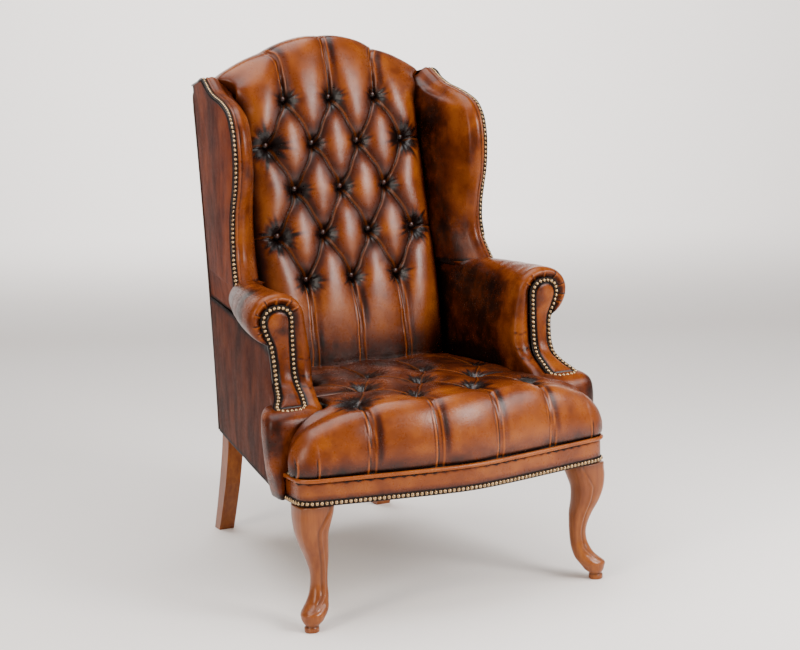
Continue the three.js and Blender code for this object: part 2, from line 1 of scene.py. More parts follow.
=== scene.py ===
# Looks of the wing armchair: buttoned hide on the back and seat, rolled arms with nailed facings,
# wings with nailed edges, cabriole legs. Shapes are worked out in millimetres in the CAD's own frame,
# +Z up, the front towards -Y, and +X the sitter's left. left_ pieces are mirrored to make right_ ones.
import json
import math
import bmesh
import bpy
import numpy as np
from mathutils import Euler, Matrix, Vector


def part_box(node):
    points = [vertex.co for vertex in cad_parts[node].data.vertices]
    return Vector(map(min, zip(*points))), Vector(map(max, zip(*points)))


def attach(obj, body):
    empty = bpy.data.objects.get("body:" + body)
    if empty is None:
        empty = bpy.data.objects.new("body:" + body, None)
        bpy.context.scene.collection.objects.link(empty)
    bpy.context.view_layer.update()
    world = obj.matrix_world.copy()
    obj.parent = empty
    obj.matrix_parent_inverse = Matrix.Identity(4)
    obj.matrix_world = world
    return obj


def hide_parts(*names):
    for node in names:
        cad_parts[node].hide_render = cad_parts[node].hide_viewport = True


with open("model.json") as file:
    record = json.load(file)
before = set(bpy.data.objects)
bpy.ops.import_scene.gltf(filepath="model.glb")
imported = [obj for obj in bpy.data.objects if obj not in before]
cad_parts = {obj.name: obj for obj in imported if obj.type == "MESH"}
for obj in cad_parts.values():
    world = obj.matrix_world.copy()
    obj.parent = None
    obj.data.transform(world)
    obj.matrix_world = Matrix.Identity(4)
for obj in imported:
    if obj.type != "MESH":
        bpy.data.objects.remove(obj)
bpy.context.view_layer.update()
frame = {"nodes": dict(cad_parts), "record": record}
MM = 0.001
PI = math.pi
HASH_PRIMES = np.array([73856093, 19349663, 83492791])


# ------ small maths
def box_mm(node):
    low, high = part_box(node)
    return np.array(low) / MM, np.array(high) / MM


def lerp(a, b, t):
    return a + (b - a) * t


def unit(t):
    return np.clip(t, 0.0, 1.0)


def smooth(t):
    t = unit(t)
    return t * t * (3 - 2 * t)


def bell(away, width):
    """1 where away is 0, and little more than a third of that at the width."""
    return np.exp(-((away / width) ** 2))


def most(*values):
    """The greatest of several numbers or arrays, point by point."""
    greatest = values[0]
    for value in values[1:]:
        greatest = np.maximum(greatest, value)
    return greatest


def noise(points, size, seed=0):
    """Smooth value noise from -1 to 1 over points in millimetres, with cells of the given size."""
    q = np.asarray(points, dtype=float) / size
    cell = np.floor(q).astype(np.int64)
    f = q - cell
    f = f * f * (3 - 2 * f)
    total = np.zeros(q.shape[:-1])
    for corner in np.ndindex(2, 2, 2):
        n = (cell + np.array(corner)) * HASH_PRIMES
        h = (n[..., 0] ^ n[..., 1] ^ n[..., 2] ^ (seed * 2654435761)) & 0xFFFFFFFF
        h = ((h ^ (h >> 13)) * 1274126177) & 0xFFFFFFFF
        h = ((h ^ (h >> 16)) & 0xFFFF) / 65535.0
        weight = np.prod(np.where(np.array(corner) == 1, f, 1 - f), axis=-1)
        total += weight * h
    return 2 * total - 1


def spline(points, count):
    """A Catmull-Rom curve through the points, as count points spaced evenly along it."""
    p = np.asarray(points, dtype=float)
    p = np.vstack([2 * p[0] - p[1], p, 2 * p[-1] - p[-2]])
    parts = []
    for k in range(1, len(p) - 2):
        t = np.linspace(0, 1, 24, endpoint=False)[:, None]
        a, b, c, d = p[k - 1], p[k], p[k + 1], p[k + 2]
        parts.append(0.5 * (2 * b + (c - a) * t + (2 * a - 5 * b + 4 * c - d) * t**2
                            + (3 * b - a - 3 * c + d) * t**3))
    return evenly(np.vstack(parts + [p[-2:-1]]), count)


def run_along(curve):
    """How far each point of a curve is along it."""
    return np.concatenate([[0], np.cumsum(np.linalg.norm(np.diff(curve, axis=0), axis=1))])


def evenly(curve, count):
    run = run_along(curve)
    at = np.linspace(0, run[-1], count)
    return np.stack([np.interp(at, run, curve[:, k]) for k in range(curve.shape[1])], axis=1)


def normalised(vectors):
    return vectors / np.linalg.norm(vectors, axis=-1, keepdims=True)


def grid_normals(grid):
    n = np.cross(np.gradient(grid, axis=1), np.gradient(grid, axis=0))
    return n / np.maximum(np.linalg.norm(n, axis=-1, keepdims=True), 1e-9)


# ------ carcass outlines, from the frame
BACK_TOP = box_mm("back_pad")[1][2]
SEAT_LOW, SEAT_HIGH = box_mm("seat_pad")
ARM_TOP = box_mm("left_arm_pad")[1][2]
BORDER_BOTTOM, BORDER_TOP = (corner[2] for corner in box_mm("front_border"))

# Heights, depths and spacings that several pieces share, in millimetres.
POST_FOOT_Z = 237
REAR_TOP_Z = 976
SEAM_FRONT = 517
SEAM_REAR = 530
BACK_RAKE = 0.2287
BACK_FOOT_Z = 396
BACK_BEND_Z = 947
BACK_ROW_LOW = 583
BACK_ROW_PITCH = 91
BACK_COLUMN = 51
BACK_DEPTH = 33
BACK_HALF = 205
CREST_HALF = 231
SEAT_ROWS = (-301, -196, -91)
SEAT_COLUMN = 61
SEAT_CROWN = 415
SEAT_DEPTH = 20
ARM_FRONT = -183
ARM_REAR = 125
ARCH_CENTRE = (288.0, 553.0)
ARCH_WIDE = 28
ARCH_TALL = 27
ARCH_POWER = 0.86
# How far the facing goes on outside its nail line, and where the roll's underside meets it.
FACING_RIM = 5.5
FACING_SEAM_Z = 506
PANEL_FOOT_Z = 239
WELT_Z = 286
NAIL_PITCH = 8.9
# Radius and height of a nail head on the facings and wings, and on the border.
SIDE_NAIL = (3.95, 3.7)
FRONT_NAIL = (4.0, 3.8)

# Height, y of the inner and the outer nail line, x of the inner and the outer nail line.
FACING_TABLE = spline([(396, -262, -262, 273, 314), (398, -256, -256, 267, 320),
                       (403, -244, -244, 263.5, 318), (415, -229, -226, 261, 307),
                       (430, -208, -203, 260, 300), (447, -196, -193, 260, 297.5),
                       (468, -191.5, -188, 260, 297), (505, -190, -184.5, 260, 300),
                       (530, -190, -186, 260, 309.5), (553, -191, -188, 260, 316),
                       (588, -194, -191, 260, 316)], 160)


def rear_curve(z):
    """How far the raked rear of the chair has gone back at a height, from 0 to 1."""
    return unit((z - POST_FOOT_Z) / (REAR_TOP_Z - POST_FOOT_Z)) ** 1.5


def rear_y(z):
    return 321 + 26 * rear_curve(z)


def rear_x(z):
    return 222 + 14 * rear_curve(z)


def back_front_y(z):
    return 68 + BACK_RAKE * (z - BACK_ROW_LOW)


def crest_z(x):
    """Height of the back's arched top at x."""
    rise, spread = 82, 285
    return BACK_TOP - rise + rise * (0.5 + 0.5 * np.cos(PI * np.abs(x) / spread)) ** 0.8


def bow_y(x, set_back=0.0):
    """The bowed front of the seat at x: an arc with a soft middle, 50 mm deep at its corners."""
    corner, soft, deep = 298, 60, 50
    return SEAT_LOW[1] + set_back + deep * (np.hypot(x, soft) - soft) / (math.hypot(corner, soft) - soft)


def arm_outer_x(y, z):
    """Outer side of the arm under its roll."""
    drop = unit((505 - z) / 268)
    return 299 + 13 * drop - (0.1429 + 0.035 * drop) * (y + 184)


def facing_lines(z):
    """The facing at a height: y and x of its inner and outer nail lines, and the face's slope."""
    at = [np.interp(z, FACING_TABLE[:, 0], FACING_TABLE[:, k]) for k in range(1, 5)]
    slope = np.interp(z, FACING_TABLE[:, 0], np.gradient(FACING_TABLE[:, 1], FACING_TABLE[:, 0]))
    return (*at, slope)


def facing_y(z):
    inner, outer = facing_lines(z)[:2]
    return (inner + outer) / 2


def facing_inner(z):
    return facing_lines(z)[2] - FACING_RIM


def facing_outer(z):
    return facing_lines(z)[3] + FACING_RIM


def facing_arch(turn, rim):
    """x and z on the facing's arch, rim millimetres outside its nail line; turn 0 is outwards."""
    c, t = np.cos(turn), np.sin(turn)
    x = ARCH_CENTRE[0] + (ARCH_WIDE + rim) * np.sign(c) * np.abs(c) ** ARCH_POWER
    return x, ARCH_CENTRE[1] + (ARCH_TALL + rim) * np.abs(t) ** ARCH_POWER


# ------ mesh helpers
def grid_faces(rows, cols, around=False):
    r, c = np.meshgrid(np.arange(rows - 1), np.arange(cols if around else cols - 1), indexing="ij")
    a = r * cols + c
    b = r * cols + (c + 1) % cols
    return np.stack([a, b, b + cols, a + cols], axis=-1).reshape(-1, 4)


def make_piece(name, vertices, faces, material, attributes=None):
    """One mesh object from vertices in millimetres, smooth shaded, riding on the chair."""
    mesh = bpy.data.meshes.new(name)
    mesh.from_pydata((np.asarray(vertices) * MM).tolist(), [], [list(map(int, f)) for f in faces])
    for key, values in (attributes or {}).items():
        layer = mesh.attributes.new(key, "FLOAT", "POINT")
        layer.data.foreach_set("value", np.asarray(values, dtype=np.float32))
    work = bmesh.new()
    work.from_mesh(mesh)
    bmesh.ops.recalc_face_normals(work, faces=work.faces)
    work.to_mesh(mesh)
    work.free()
    mesh.polygons.foreach_set("use_smooth", np.ones(len(mesh.polygons), dtype=bool))
    mesh.materials.append(material)
    piece = bpy.data.objects.new(name, mesh)
    bpy.context.collection.objects.link(piece)
    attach(piece, "root")
    return piece


def full_layers(attributes, shape, extra):
    """Each attribute over a whole grid, then its values at the points that close the grid."""
    whole = {}
    for key, values in (attributes or {}).items():
        whole[key] = np.concatenate([np.broadcast_to(values, shape).reshape(-1), extra])
    return whole


def stand_for(made, nodes):
    """Each piece stands for its CAD node, which is hidden."""
    for piece, node in zip(made, nodes):
        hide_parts(node)


# How far towards its middle the skirt behind a sheet is drawn in.
SKIRT_SHARE = 0.4


def closed_sheet(name, grid, inward, material, attributes=None, shell=True):
    """A sheet of rows and columns closed behind: by its own copy moved inward, or by a skirt from
    its rim and a fan."""
    rows, cols = grid.shape[:2]
    vertices = grid.reshape(-1, 3)
    index = np.arange(rows * cols).reshape(rows, cols)
    rim = np.concatenate([index[0, :-1], index[:-1, -1], index[-1, :0:-1], index[:0:-1, 0]])
    first, n = rows * cols, len(rim)
    sheet = grid_faces(rows, cols)
    faces = [tuple(f) for f in sheet]
    if shell:
        back = (grid + inward).reshape(-1, 3)
        faces += [tuple(f) for f in sheet[:, ::-1] + first]
        faces += [(rim[(k + 1) % n], rim[k], rim[k] + first, rim[(k + 1) % n] + first) for k in range(n)]
    else:
        skirt = lerp(vertices[rim], vertices[rim].mean(axis=0), SKIRT_SHARE) + inward
        back = np.vstack([skirt, skirt.mean(axis=0, keepdims=True)])
        for k in range(n):
            a, b, c, d = rim[k], rim[(k + 1) % n], first + (k + 1) % n, first + k
            faces.append((b, a, d, c))
            faces.append((d, first + n, c))
    layers = full_layers(attributes, (rows, cols), np.ones(len(back)))
    return both_ways(name, np.vstack([vertices, back]), faces, material, layers)


def both_ways(name, vertices, faces, material, attributes):
    """A piece, and its mirror image too where its name starts with left_."""
    made = [make_piece(name, vertices, faces, material, attributes)]
    if name.startswith("left_"):
        other = vertices * np.array([-1.0, 1.0, 1.0])
        made.append(make_piece("right_" + name[5:], other, faces, material, attributes))
    return made


def loft(name, rings, material, attributes=None):
    """A solid skinned over closed rings, with a fan at each end."""
    rings = np.asarray(rings, dtype=float)
    rows, cols = rings.shape[:2]
    vertices = np.vstack([rings.reshape(-1, 3), rings[0].mean(axis=0), rings[-1].mean(axis=0)])
    faces = [tuple(f) for f in grid_faces(rows, cols, around=True)]
    last = (rows - 1) * cols
    for k in range(cols):
        faces.append(((k + 1) % cols, k, rows * cols))
        faces.append((last + k, last + (k + 1) % cols, rows * cols + 1))
    layers = full_layers(attributes, (rows, cols), [0.5, 0.5])
    return both_ways(name, vertices, faces, material, layers)


def sweep(name, path, side, normal, section, material, slot, attributes=None):
    """Sweeps a closed section, given as (along side, along normal) points, along a path."""
    rings = path[:, None] + side[:, None] * section[None, :, :1] + normal[:, None] * section[None, :, 1:]
    return loft(name, rings, material, attributes)


def rounded(width, thick, power=3.0, count=16):
    """A closed outline between an ellipse, at power 2, and a rectangle, at high powers."""
    turn = np.linspace(0, 2 * PI, count, endpoint=False)
    c, s = np.cos(turn), np.sin(turn)
    return np.stack([width / 2 * np.sign(c) * np.abs(c) ** (2 / power),
                     thick / 2 * np.sign(s) * np.abs(s) ** (2 / power)], axis=1)


def frame_along(path, towards):
    """Side and normal along a path, with the side as near as possible to towards."""
    tangent = normalised(np.gradient(path, axis=0))
    towards = np.broadcast_to(np.asarray(towards, dtype=float), path.shape)
    side = normalised(towards - tangent * np.sum(towards * tangent, axis=1, keepdims=True))
    return side, np.cross(tangent, side)


def welt(name, path, towards, width, count, **layers):
    """A round welt of hide along a path."""
    section = rounded(width, width, 2, count)
    return sweep(name, path, *frame_along(path, towards), section, CORD_HIDE, "welt_leather", layers)


def add_head(vertices, faces, centre, normal, tilt, rings, first_end, last_end):
    """Adds one round head: rings as (radii, height) about a normal, closed by a point at each end.

    tilt is any direction well away from the normal; it says where each ring starts."""
    a = normalised(np.cross(normal, tilt))
    b = np.cross(normal, a)
    around = len(rings[0][0])
    turn = (2 * PI * np.arange(around) / around)[:, None]
    spokes = a * np.cos(turn) + b * np.sin(turn)
    start = len(vertices)
    for radius, height in rings:
        vertices.extend(centre + normal * height + spokes * radius[:, None])
    vertices.extend([centre + normal * first_end, centre + normal * last_end])
    faces.extend(tuple(f + start) for f in grid_faces(len(rings), around, around=True))
    tip = start + len(rings) * around
    last = tip - around
    for j in range(around):
        after = (j + 1) % around
        faces.append((start + after, start + j, tip))
        faces.append((last + j, last + after, tip + 1))


# How far a nail head reaches into the hide under it.
STUD_ROOT = 1.2


def studs(name, places, normals, size, seed=3):
    """Domed nail heads, one for each place, each turned and sized a little differently."""
    rng = np.random.default_rng(seed)
    around, up = 12, 5
    vertices, faces = [], []
    for centre, normal in zip(places, normals):
        normal = normalised(normalised(normal) + rng.normal(0, 0.05, 3))
        grow = 1 + rng.normal(0, 0.02)
        radius, height = size[0] * grow, size[1] * grow
        lifts = [PI / 2 * k / up for k in range(up)]
        rings = [(np.full(around, radius * math.cos(lift)), height * math.sin(lift)) for lift in lifts]
        add_head(vertices, faces, centre, normal, (0.3, 0.2, 0.93), rings, -STUD_ROOT, height)
    return both_ways(name, np.array(vertices), faces, BRASS, None)


def stations(path, pitch):
    """Points at an even pitch along a path."""
    return evenly(path, max(2, int(round(run_along(path)[-1] / pitch)) + 1))


# ------ materials
class Shader:
    """A material's node tree, with short calls for the nodes that the chair needs."""

    def __init__(self, name):
        self.material = bpy.data.materials.new(name)
        self.material.use_nodes = True
        self.tree = self.material.node_tree
        self.surface = self.tree.nodes["Principled BSDF"]
        self.object_space = self.node("ShaderNodeTexCoord").outputs["Object"]

    def node(self, kind, **values):
        made = self.tree.nodes.new(kind)
        for key, value in values.items():
            setattr(made, key, value)
        return made

    def link(self, source, target):
        self.tree.links.new(source, target)

    def put(self, target, value):
        if isinstance(value, bpy.types.NodeSocket):
            self.link(value, target)
        else:
            target.default_value = value

    def texture(self, made, output, vector=None, **values):
        """The output of a node that takes a place on the object and these values."""
        self.link(vector or self.object_space, made.inputs["Vector"])
        for key, value in values.items():
            made.inputs[key].default_value = value
        return made.outputs[output]

    def place(self, scale):
        return self.texture(self.node("ShaderNodeMapping"), "Vector", Scale=scale)

    def noise(self, scale, detail=2.0, roughness=0.5, vector=None, distortion=0.0):
        return self.texture(self.node("ShaderNodeTexNoise"), "Fac", vector, Scale=scale, Detail=detail,
                            Roughness=roughness, Distortion=distortion)

    def cells(self, scale):
        return self.texture(self.node("ShaderNodeTexVoronoi", feature="F1"), "Distance", Scale=scale)

    def wave(self, direction, scale, distortion=0.0):
        made = self.node("ShaderNodeTexWave", wave_type="BANDS", bands_direction=direction)
        return self.texture(made, "Fac", Scale=scale, Distortion=distortion)

    def math(self, operation, a, b=0.0, clamp=False):
        made = self.node("ShaderNodeMath", operation=operation, use_clamp=clamp)
        self.put(made.inputs[0], a)
        self.put(made.inputs[1], b)
        return made.outputs[0]

    def blend(self, *parts):
        """The sum of values, each times its weight."""
        total = self.math("MULTIPLY", *parts[0])
        for part in parts[1:]:
            total = self.math("ADD", total, self.math("MULTIPLY", *part))
        return total

    def spread(self, value, low, high, to_low=0.0, to_high=1.0):
        made = self.node("ShaderNodeMapRange", interpolation_type="SMOOTHSTEP")
        self.put(made.inputs["Value"], value)
        for key, number in (("From Min", low), ("From Max", high), ("To Min", to_low), ("To Max", to_high)):
            made.inputs[key].default_value = number
        return made.outputs["Result"]

    def attribute(self, name):
        return self.node("ShaderNodeAttribute", attribute_name=name).outputs["Fac"]

    def ramp(self, value, *stops):
        made = self.node("ShaderNodeValToRGB")
        ramp = made.color_ramp
        while len(ramp.elements) < len(stops):
            ramp.elements.new(0.5)
        for element, (at, colour) in zip(ramp.elements, stops):
            element.position = at
            element.color = (*colour, 1)
        self.put(made.inputs["Fac"], value)
        return made.outputs["Color"]

    def mix(self, factor, a, b, blend="MIX"):
        made = self.node("ShaderNodeMix", data_type="RGBA", blend_type=blend)
        self.put(made.inputs[0], factor)
        for socket, value in ((made.inputs[6], a), (made.inputs[7], b)):
            self.put(socket, (*value, 1) if isinstance(value, tuple) else value)
        return made.outputs[2]

    def bump(self, height, strength, distance):
        made = self.node("ShaderNodeBump")
        self.put(made.inputs["Height"], height)
        made.inputs["Strength"].default_value = strength
        made.inputs["Distance"].default_value = distance
        self.link(made.outputs["Normal"], self.surface.inputs["Normal"])

    def set(self, **values):
        for key, value in values.items():
            self.put(self.surface.inputs[key.replace("_", " ")], value)


def hide_material(name, mottle, streak, low=0.5, high=0.75, base=0.0, gloss=0.3, rough=(0.25, 0.33),
                  tone=(1, 1, 1)):
    """Antique hide: an orange-tan ground under dark patina that follows folds, buttons and mottling, and
    under painted shade that pieces put into the same dark attribute.
    """
    s = Shader(name)
    stretched = s.place((1.0, 1.0, streak))
    cloud = s.noise(9.0, 4.0, 0.55, vector=stretched, distortion=0.3)
    blotch = s.noise(38.0, 4.0, 0.6, vector=stretched)
    fine = s.noise(160.0, 2.0, 0.6)
    age = s.spread(s.blend((cloud, 0.62), (blotch, 0.38)), low, high, 0.0, mottle)
    breakup = s.blend((blotch, 0.9), (fine, 0.5))
    # The dark attribute holds patina along folds and round buttons and also painted shade from the pieces;
    # fold carries both.
    fold = s.math("MULTIPLY", s.attribute("dark"), s.spread(breakup, 0.25, 0.95, 0.72, 1.25))
    depth = s.math("ADD", s.math("ADD", age, fold), base, clamp=True)
    depth = s.math("SUBTRACT", depth, s.math("MULTIPLY", s.attribute("rub"), 0.55), clamp=True)
    ground = s.ramp(s.spread(s.noise(14.0, 3.0, 0.6), 0.3, 0.7),
                    (0.0, (0.225, 0.056, 0.004)), (0.5, (0.170, 0.036, 0.002)), (1.0, (0.120, 0.023, 0.001)))
    patina = s.ramp(depth, (0.0, (1.0, 1.0, 1.0)), (0.25, (0.58, 0.48, 0.6)), (0.5, (0.24, 0.17, 0.35)),
                    (0.75, (0.07, 0.065, 0.16)), (1.0, (0.02, 0.024, 0.25)))
    colour = s.mix(1.0, s.mix(1.0, ground, tone, "MULTIPLY"), patina, "MULTIPLY")
    colour = s.mix(s.math("MULTIPLY", s.attribute("rub"), 0.6, clamp=True), colour, (0.36, 0.085, 0.004))
    wrinkle = s.noise(95.0, 3.0, 0.6, distortion=1.2)
    s.bump(s.blend((s.cells(1250.0), 0.35), (s.noise(900.0, 2.0, 0.6), 0.25), (wrinkle, 0.9)), 0.35, 0.0006)
    worn = s.spread(s.blend((fine, 0.5), (blotch, 0.5)), 0.3, 0.7, *rough)
    s.set(Base_Color=colour, Roughness=worn, Specular_IOR_Level=gloss)
    return s.material


def brass_material():
    s = Shader("antique_brass")
    tarnish = s.spread(s.noise(420.0, 3.0, 0.6), 0.45, 0.7)
    s.set(Base_Color=s.mix(tarnish, (0.41, 0.28, 0.15), (0.11, 0.062, 0.03)),
          Roughness=s.spread(s.noise(700.0, 2.0), 0.3, 0.7, 0.16, 0.30), Metallic=1.0)
    s.bump(s.noise(900.0, 2.0), 0.15, 0.0003)
    return s.material


def gimp_material():
    s = Shader("dark_gimp")
    weave = s.wave("DIAGONAL", 420.0, distortion=1.5)
    fibre = s.noise(800.0, 2.0)
    s.set(Base_Color=s.mix(fibre, (0.004, 0.003, 0.003), (0.02, 0.012, 0.009)), Roughness=0.6,
          Specular_IOR_Level=0.12)
    s.bump(s.math("ADD", weave, fibre), 0.5, 0.0005)
    return s.material


def wood_material(name, light, dark, glow, gloss, coat):
    """Wood with its grain drawn out upwards, with rings, pores and a varnish of the given gloss."""
    s = Shader(name)
    grain = 46.0
    drawn = s.place((1.0, 1.0, 0.08))
    figure = s.noise(grain, 5.0, 0.62, vector=drawn, distortion=0.6)
    ring = s.noise(grain * 3.4, 3.0, 0.6, vector=drawn)
    pores = s.noise(grain * 22, 2.0, 0.6, vector=drawn)
    cloud = s.noise(11.0, 3.0, 0.5)
    blend = s.blend((figure, 0.6), (ring, 0.4))
    colour = s.ramp(s.spread(blend, 0.25, 0.75), (0.0, dark), (0.5, glow), (1.0, light))
    colour = s.mix(s.spread(cloud, 0.35, 0.75, 0.0, 0.45), colour, dark)
    colour = s.mix(s.math("MULTIPLY", s.attribute("dark"), 0.85, clamp=True), colour, (0.02, 0.008, 0.005))
    s.bump(s.blend((ring, 0.5), (pores, 0.5)), 0.06, 0.0003)
    s.set(Base_Color=colour, Roughness=s.spread(ring, 0.3, 0.7, gloss, gloss + 0.08), Coat_Weight=coat,
          Coat_Roughness=0.12, Specular_IOR_Level=0.2)
    return s.material


def cloth_material(name, light, dark, scale):
    s = Shader(name)
    height = s.math("MULTIPLY", s.wave("X", scale), s.wave("Z", scale))
    s.set(Base_Color=s.mix(s.math("ADD", s.math("MULTIPLY", height, 0.7), s.noise(60.0, 2.0)), dark, light),
          Roughness=0.9, Sheen_Weight=0.2)
    s.bump(height, 0.6, 0.0006)
    return s.material


def steel_material():
    s = Shader("drawn_wire")
    s.set(Base_Color=s.mix(s.noise(300.0, 3.0), (0.42, 0.42, 0.41), (0.66, 0.66, 0.65)), Metallic=1.0,
          Roughness=s.spread(s.noise(500.0, 2.0), 0.3, 0.7, 0.25, 0.4))
    s.bump(s.noise(1500.0, 2.0), 0.1, 0.0002)
    return s.material


HIDE = hide_material("hide", mottle=0.42, streak=0.8, low=0.50, high=0.78)
PANEL = dict(mottle=0.42, streak=0.42, low=0.38, high=0.70, gloss=0.03, rough=(0.45, 0.55))
PANEL_HIDE = hide_material("panel_hide", base=0.22, tone=(0.72, 0.62, 0.6), **PANEL)
WING_PANEL_HIDE = hide_material("wing_panel_hide", base=0.13, tone=(0.95, 0.74, 0.62), **PANEL)
ARM_HIDE = hide_material("arm_hide", mottle=0.5, streak=0.9, low=0.42, high=0.70, base=0.06, gloss=0.19)
CORD_HIDE = hide_material("cord_hide", mottle=0.4, streak=1.0, low=0.45, high=0.75, base=0.05)
BRASS = brass_material()
GIMP = gimp_material()
LEG_WOOD = wood_material("leg_wood", (0.27, 0.082, 0.014), (0.13, 0.030, 0.006), (0.20, 0.054, 0.010),
                         0.28, 0.22)
BEECH = wood_material("beech", (0.72, 0.52, 0.32), (0.45, 0.28, 0.15), (0.62, 0.42, 0.24), 0.55, 0.0)
STEEL = steel_material()
WEBBING = cloth_material("webbing", (0.12, 0.10, 0.08), (0.035, 0.03, 0.026), 520.0)
CAMBRIC = cloth_material("cambric", (0.03, 0.028, 0.027), (0.006, 0.006, 0.006), 900.0)


# ------ buttoned surfaces
# How strongly folds that lie near one another add up, and how often the ground between them is smoothed.
SINK_POWER = 2.4
SMOOTHING_PASSES = 28


def tufting(a, b, buttons, folds, reach, fade, seed):
    """Drop of a buttoned surface below its crown, with how dark and how rubbed each point is.

    a and b are the surface's own coordinates in millimetres. A fold is (start, end, depth at the
    start, half way and at the end, bow, kind); kind is "lap", "plain" or "pleat"."""
    rng = np.random.default_rng(seed)
    sunk, share, level, ridge, dark, rub = (np.zeros_like(a) for _ in range(6))
    closest = np.full_like(a, 1e3)
    for start, end, first, middle, last, bow, kind in folds:
        run = np.subtract(end, start)
        long = math.hypot(*run)
        t = unit(((a - start[0]) * run[0] + (b - start[1]) * run[1]) / long**2)
        arc = 4 * t * (1 - t)
        wander = 1.2 * np.sin(3.1 * t * PI + rng.uniform(0, 6)) * arc
        across = (run[1] / long, -run[0] / long)
        da = a - start[0] - t * run[0] - wander * across[0]
        db = b - start[1] - t * run[1] - wander * across[1] + bow * arc
        side = da * across[0] + db * across[1]
        away = np.hypot(da, db)
        # The depth follows the parabola through its three given values.
        depth = most(0, first * (1 - t) * (1 - 2 * t) + middle * arc + last * t * (2 * t - 1))
        u = unit(away / reach)
        slope = 1 - np.sqrt(1 - (1 - u) ** 2)
        closest = np.minimum(closest, away)
        sunk += slope**SINK_POWER
        weight = 1 / (away**2 + 2) ** 1.5
        share += weight
        level += weight * depth
        shade = depth / max(first, 1)
        if kind == "pleat":
            shade = 0.9 * shade * smooth((0.30 - t) / 0.25) - 0.25
        dark = most(dark, bell(away, fade) * (0.32 + 0.60 * shade))
        if kind == "pleat":
            # A pleat is a band between two edges, each with a groove inside and a dark line outside.
            half = 5.5 + 1.5 * t
            toward = 1 if across[0] > 0 else -1
            open_end = smooth(t / 0.12)
            beside = away < 30
            for edge in (-half, half):
                sign = np.sign(edge)
                far = 0.55 if sign[0, 0] * toward > 0 else 1.0
                seen = beside * open_end * far
                groove = bell(side - edge + 1.9 * sign, 1.3)
                lip = bell(side - edge, 1.1)
                outer = bell(side - edge - 2.6 * sign, 1.6)
                ridge += (1.3 * lip - 1.3 * groove - 0.5 * outer) * seen
                dark = most(dark, most(0.85 * groove, 0.45 * outer) * seen)
                rub = most(rub, 0.9 * lip * seen)
            # Painted shade: a broad darker band runs along each pleat's +x side.
            band = bell(side * toward - half - 8, 7) * beside * open_end
            dark = most(dark, band * (0.42 + 0.2 * np.sin(9 * t + rng.uniform(0, 6))))
        else:
            # A fold is a dark line under a lap of hide, with a fainter line beyond the lap.
            inside = (t > 0.02) & (t < 0.98)
            wide = 1.0 if kind == "lap" else 0.6
            taper = smooth(t / 0.15) * smooth((1 - t) / 0.15) * inside
            lap = bell(side - 2.7, 1.3) * wide
            line = bell(side - 5.4, 1.0) * wide
            fold_line = bell(side, 1.2)
            ridge += (1.2 * lap - 0.5 * line - 1.4 * fold_line) * taper
            dark = most(dark, most(0.95 * fold_line, 0.5 * line) * taper)
            rub = most(rub, 0.55 * lap * taper)
    drop = level / share * unit(sunk ** (1 / SINK_POWER))
    soft = drop.copy()
    for _ in range(SMOOTHING_PASSES):
        soft[1:-1] += 0.25 * (soft[:-2] - 2 * soft[1:-1] + soft[2:])
        soft[:, 1:-1] += 0.25 * (soft[:, :-2] - 2 * soft[:, 1:-1] + soft[:, 2:])
    drop = lerp(soft, drop, bell(closest, 7)) - ridge
    for centre in buttons:
        da, db = a - centre[0], b - centre[1]
        away = np.hypot(da, db)
        turn = np.arctan2(db, da)
        # Patina and puckers run out from each button as a ragged star.
        star = np.zeros_like(a)
        for count in (7, 11, 16, 23):
            star += np.sin(count * turn + rng.uniform(0, 2 * PI)) / 4
        spread = (19 + 7 * star + 3 * rng.uniform(-1, 1)) * centre[2]
        halo = 1.15 / (1 + np.exp((away - spread) / (0.20 * spread)))
        dark = most(dark, halo * (1.0 + 0.15 * star))
        drop += bell(away - 15, 9) * 0.6 * np.sin(14 * turn + 2.5 * star + rng.uniform(0, 6))
        drop += 3.0 * bell(away, 11)
    return drop, unit(dark), unit(rub), closest


def lattice_folds(rows, depth, middle, bow=0.0):
    """Folds between each button and its diagonal neighbours in the next row."""
    made = []
    for upper, lower in zip(rows[:-1], rows[1:]):
        for p in upper:
            for q in lower:
                step = q[0] - p[0]
                if abs(step) < 1.5 * max(BACK_COLUMN, SEAT_COLUMN):
                    kind = "lap" if step * (q[1] - p[1]) < 0 else "plain"
                    made.append((p[:2], q[:2], depth, middle, depth, bow, kind))
    return made


def row_of(count, half, b, halo=1.0, outer=1.0):
    """A row of buttons as (a, b, spread of the patina round it), outer for the two at its ends."""
    places = [half * (2 * k - count + 1) for k in range(count)]
    edge = max(places)
    return [(x, b, outer if abs(abs(x) - edge) < 1 else halo) for x in places]


CLOTH_FRAMES = 20
MOST_MOVE = 3.0


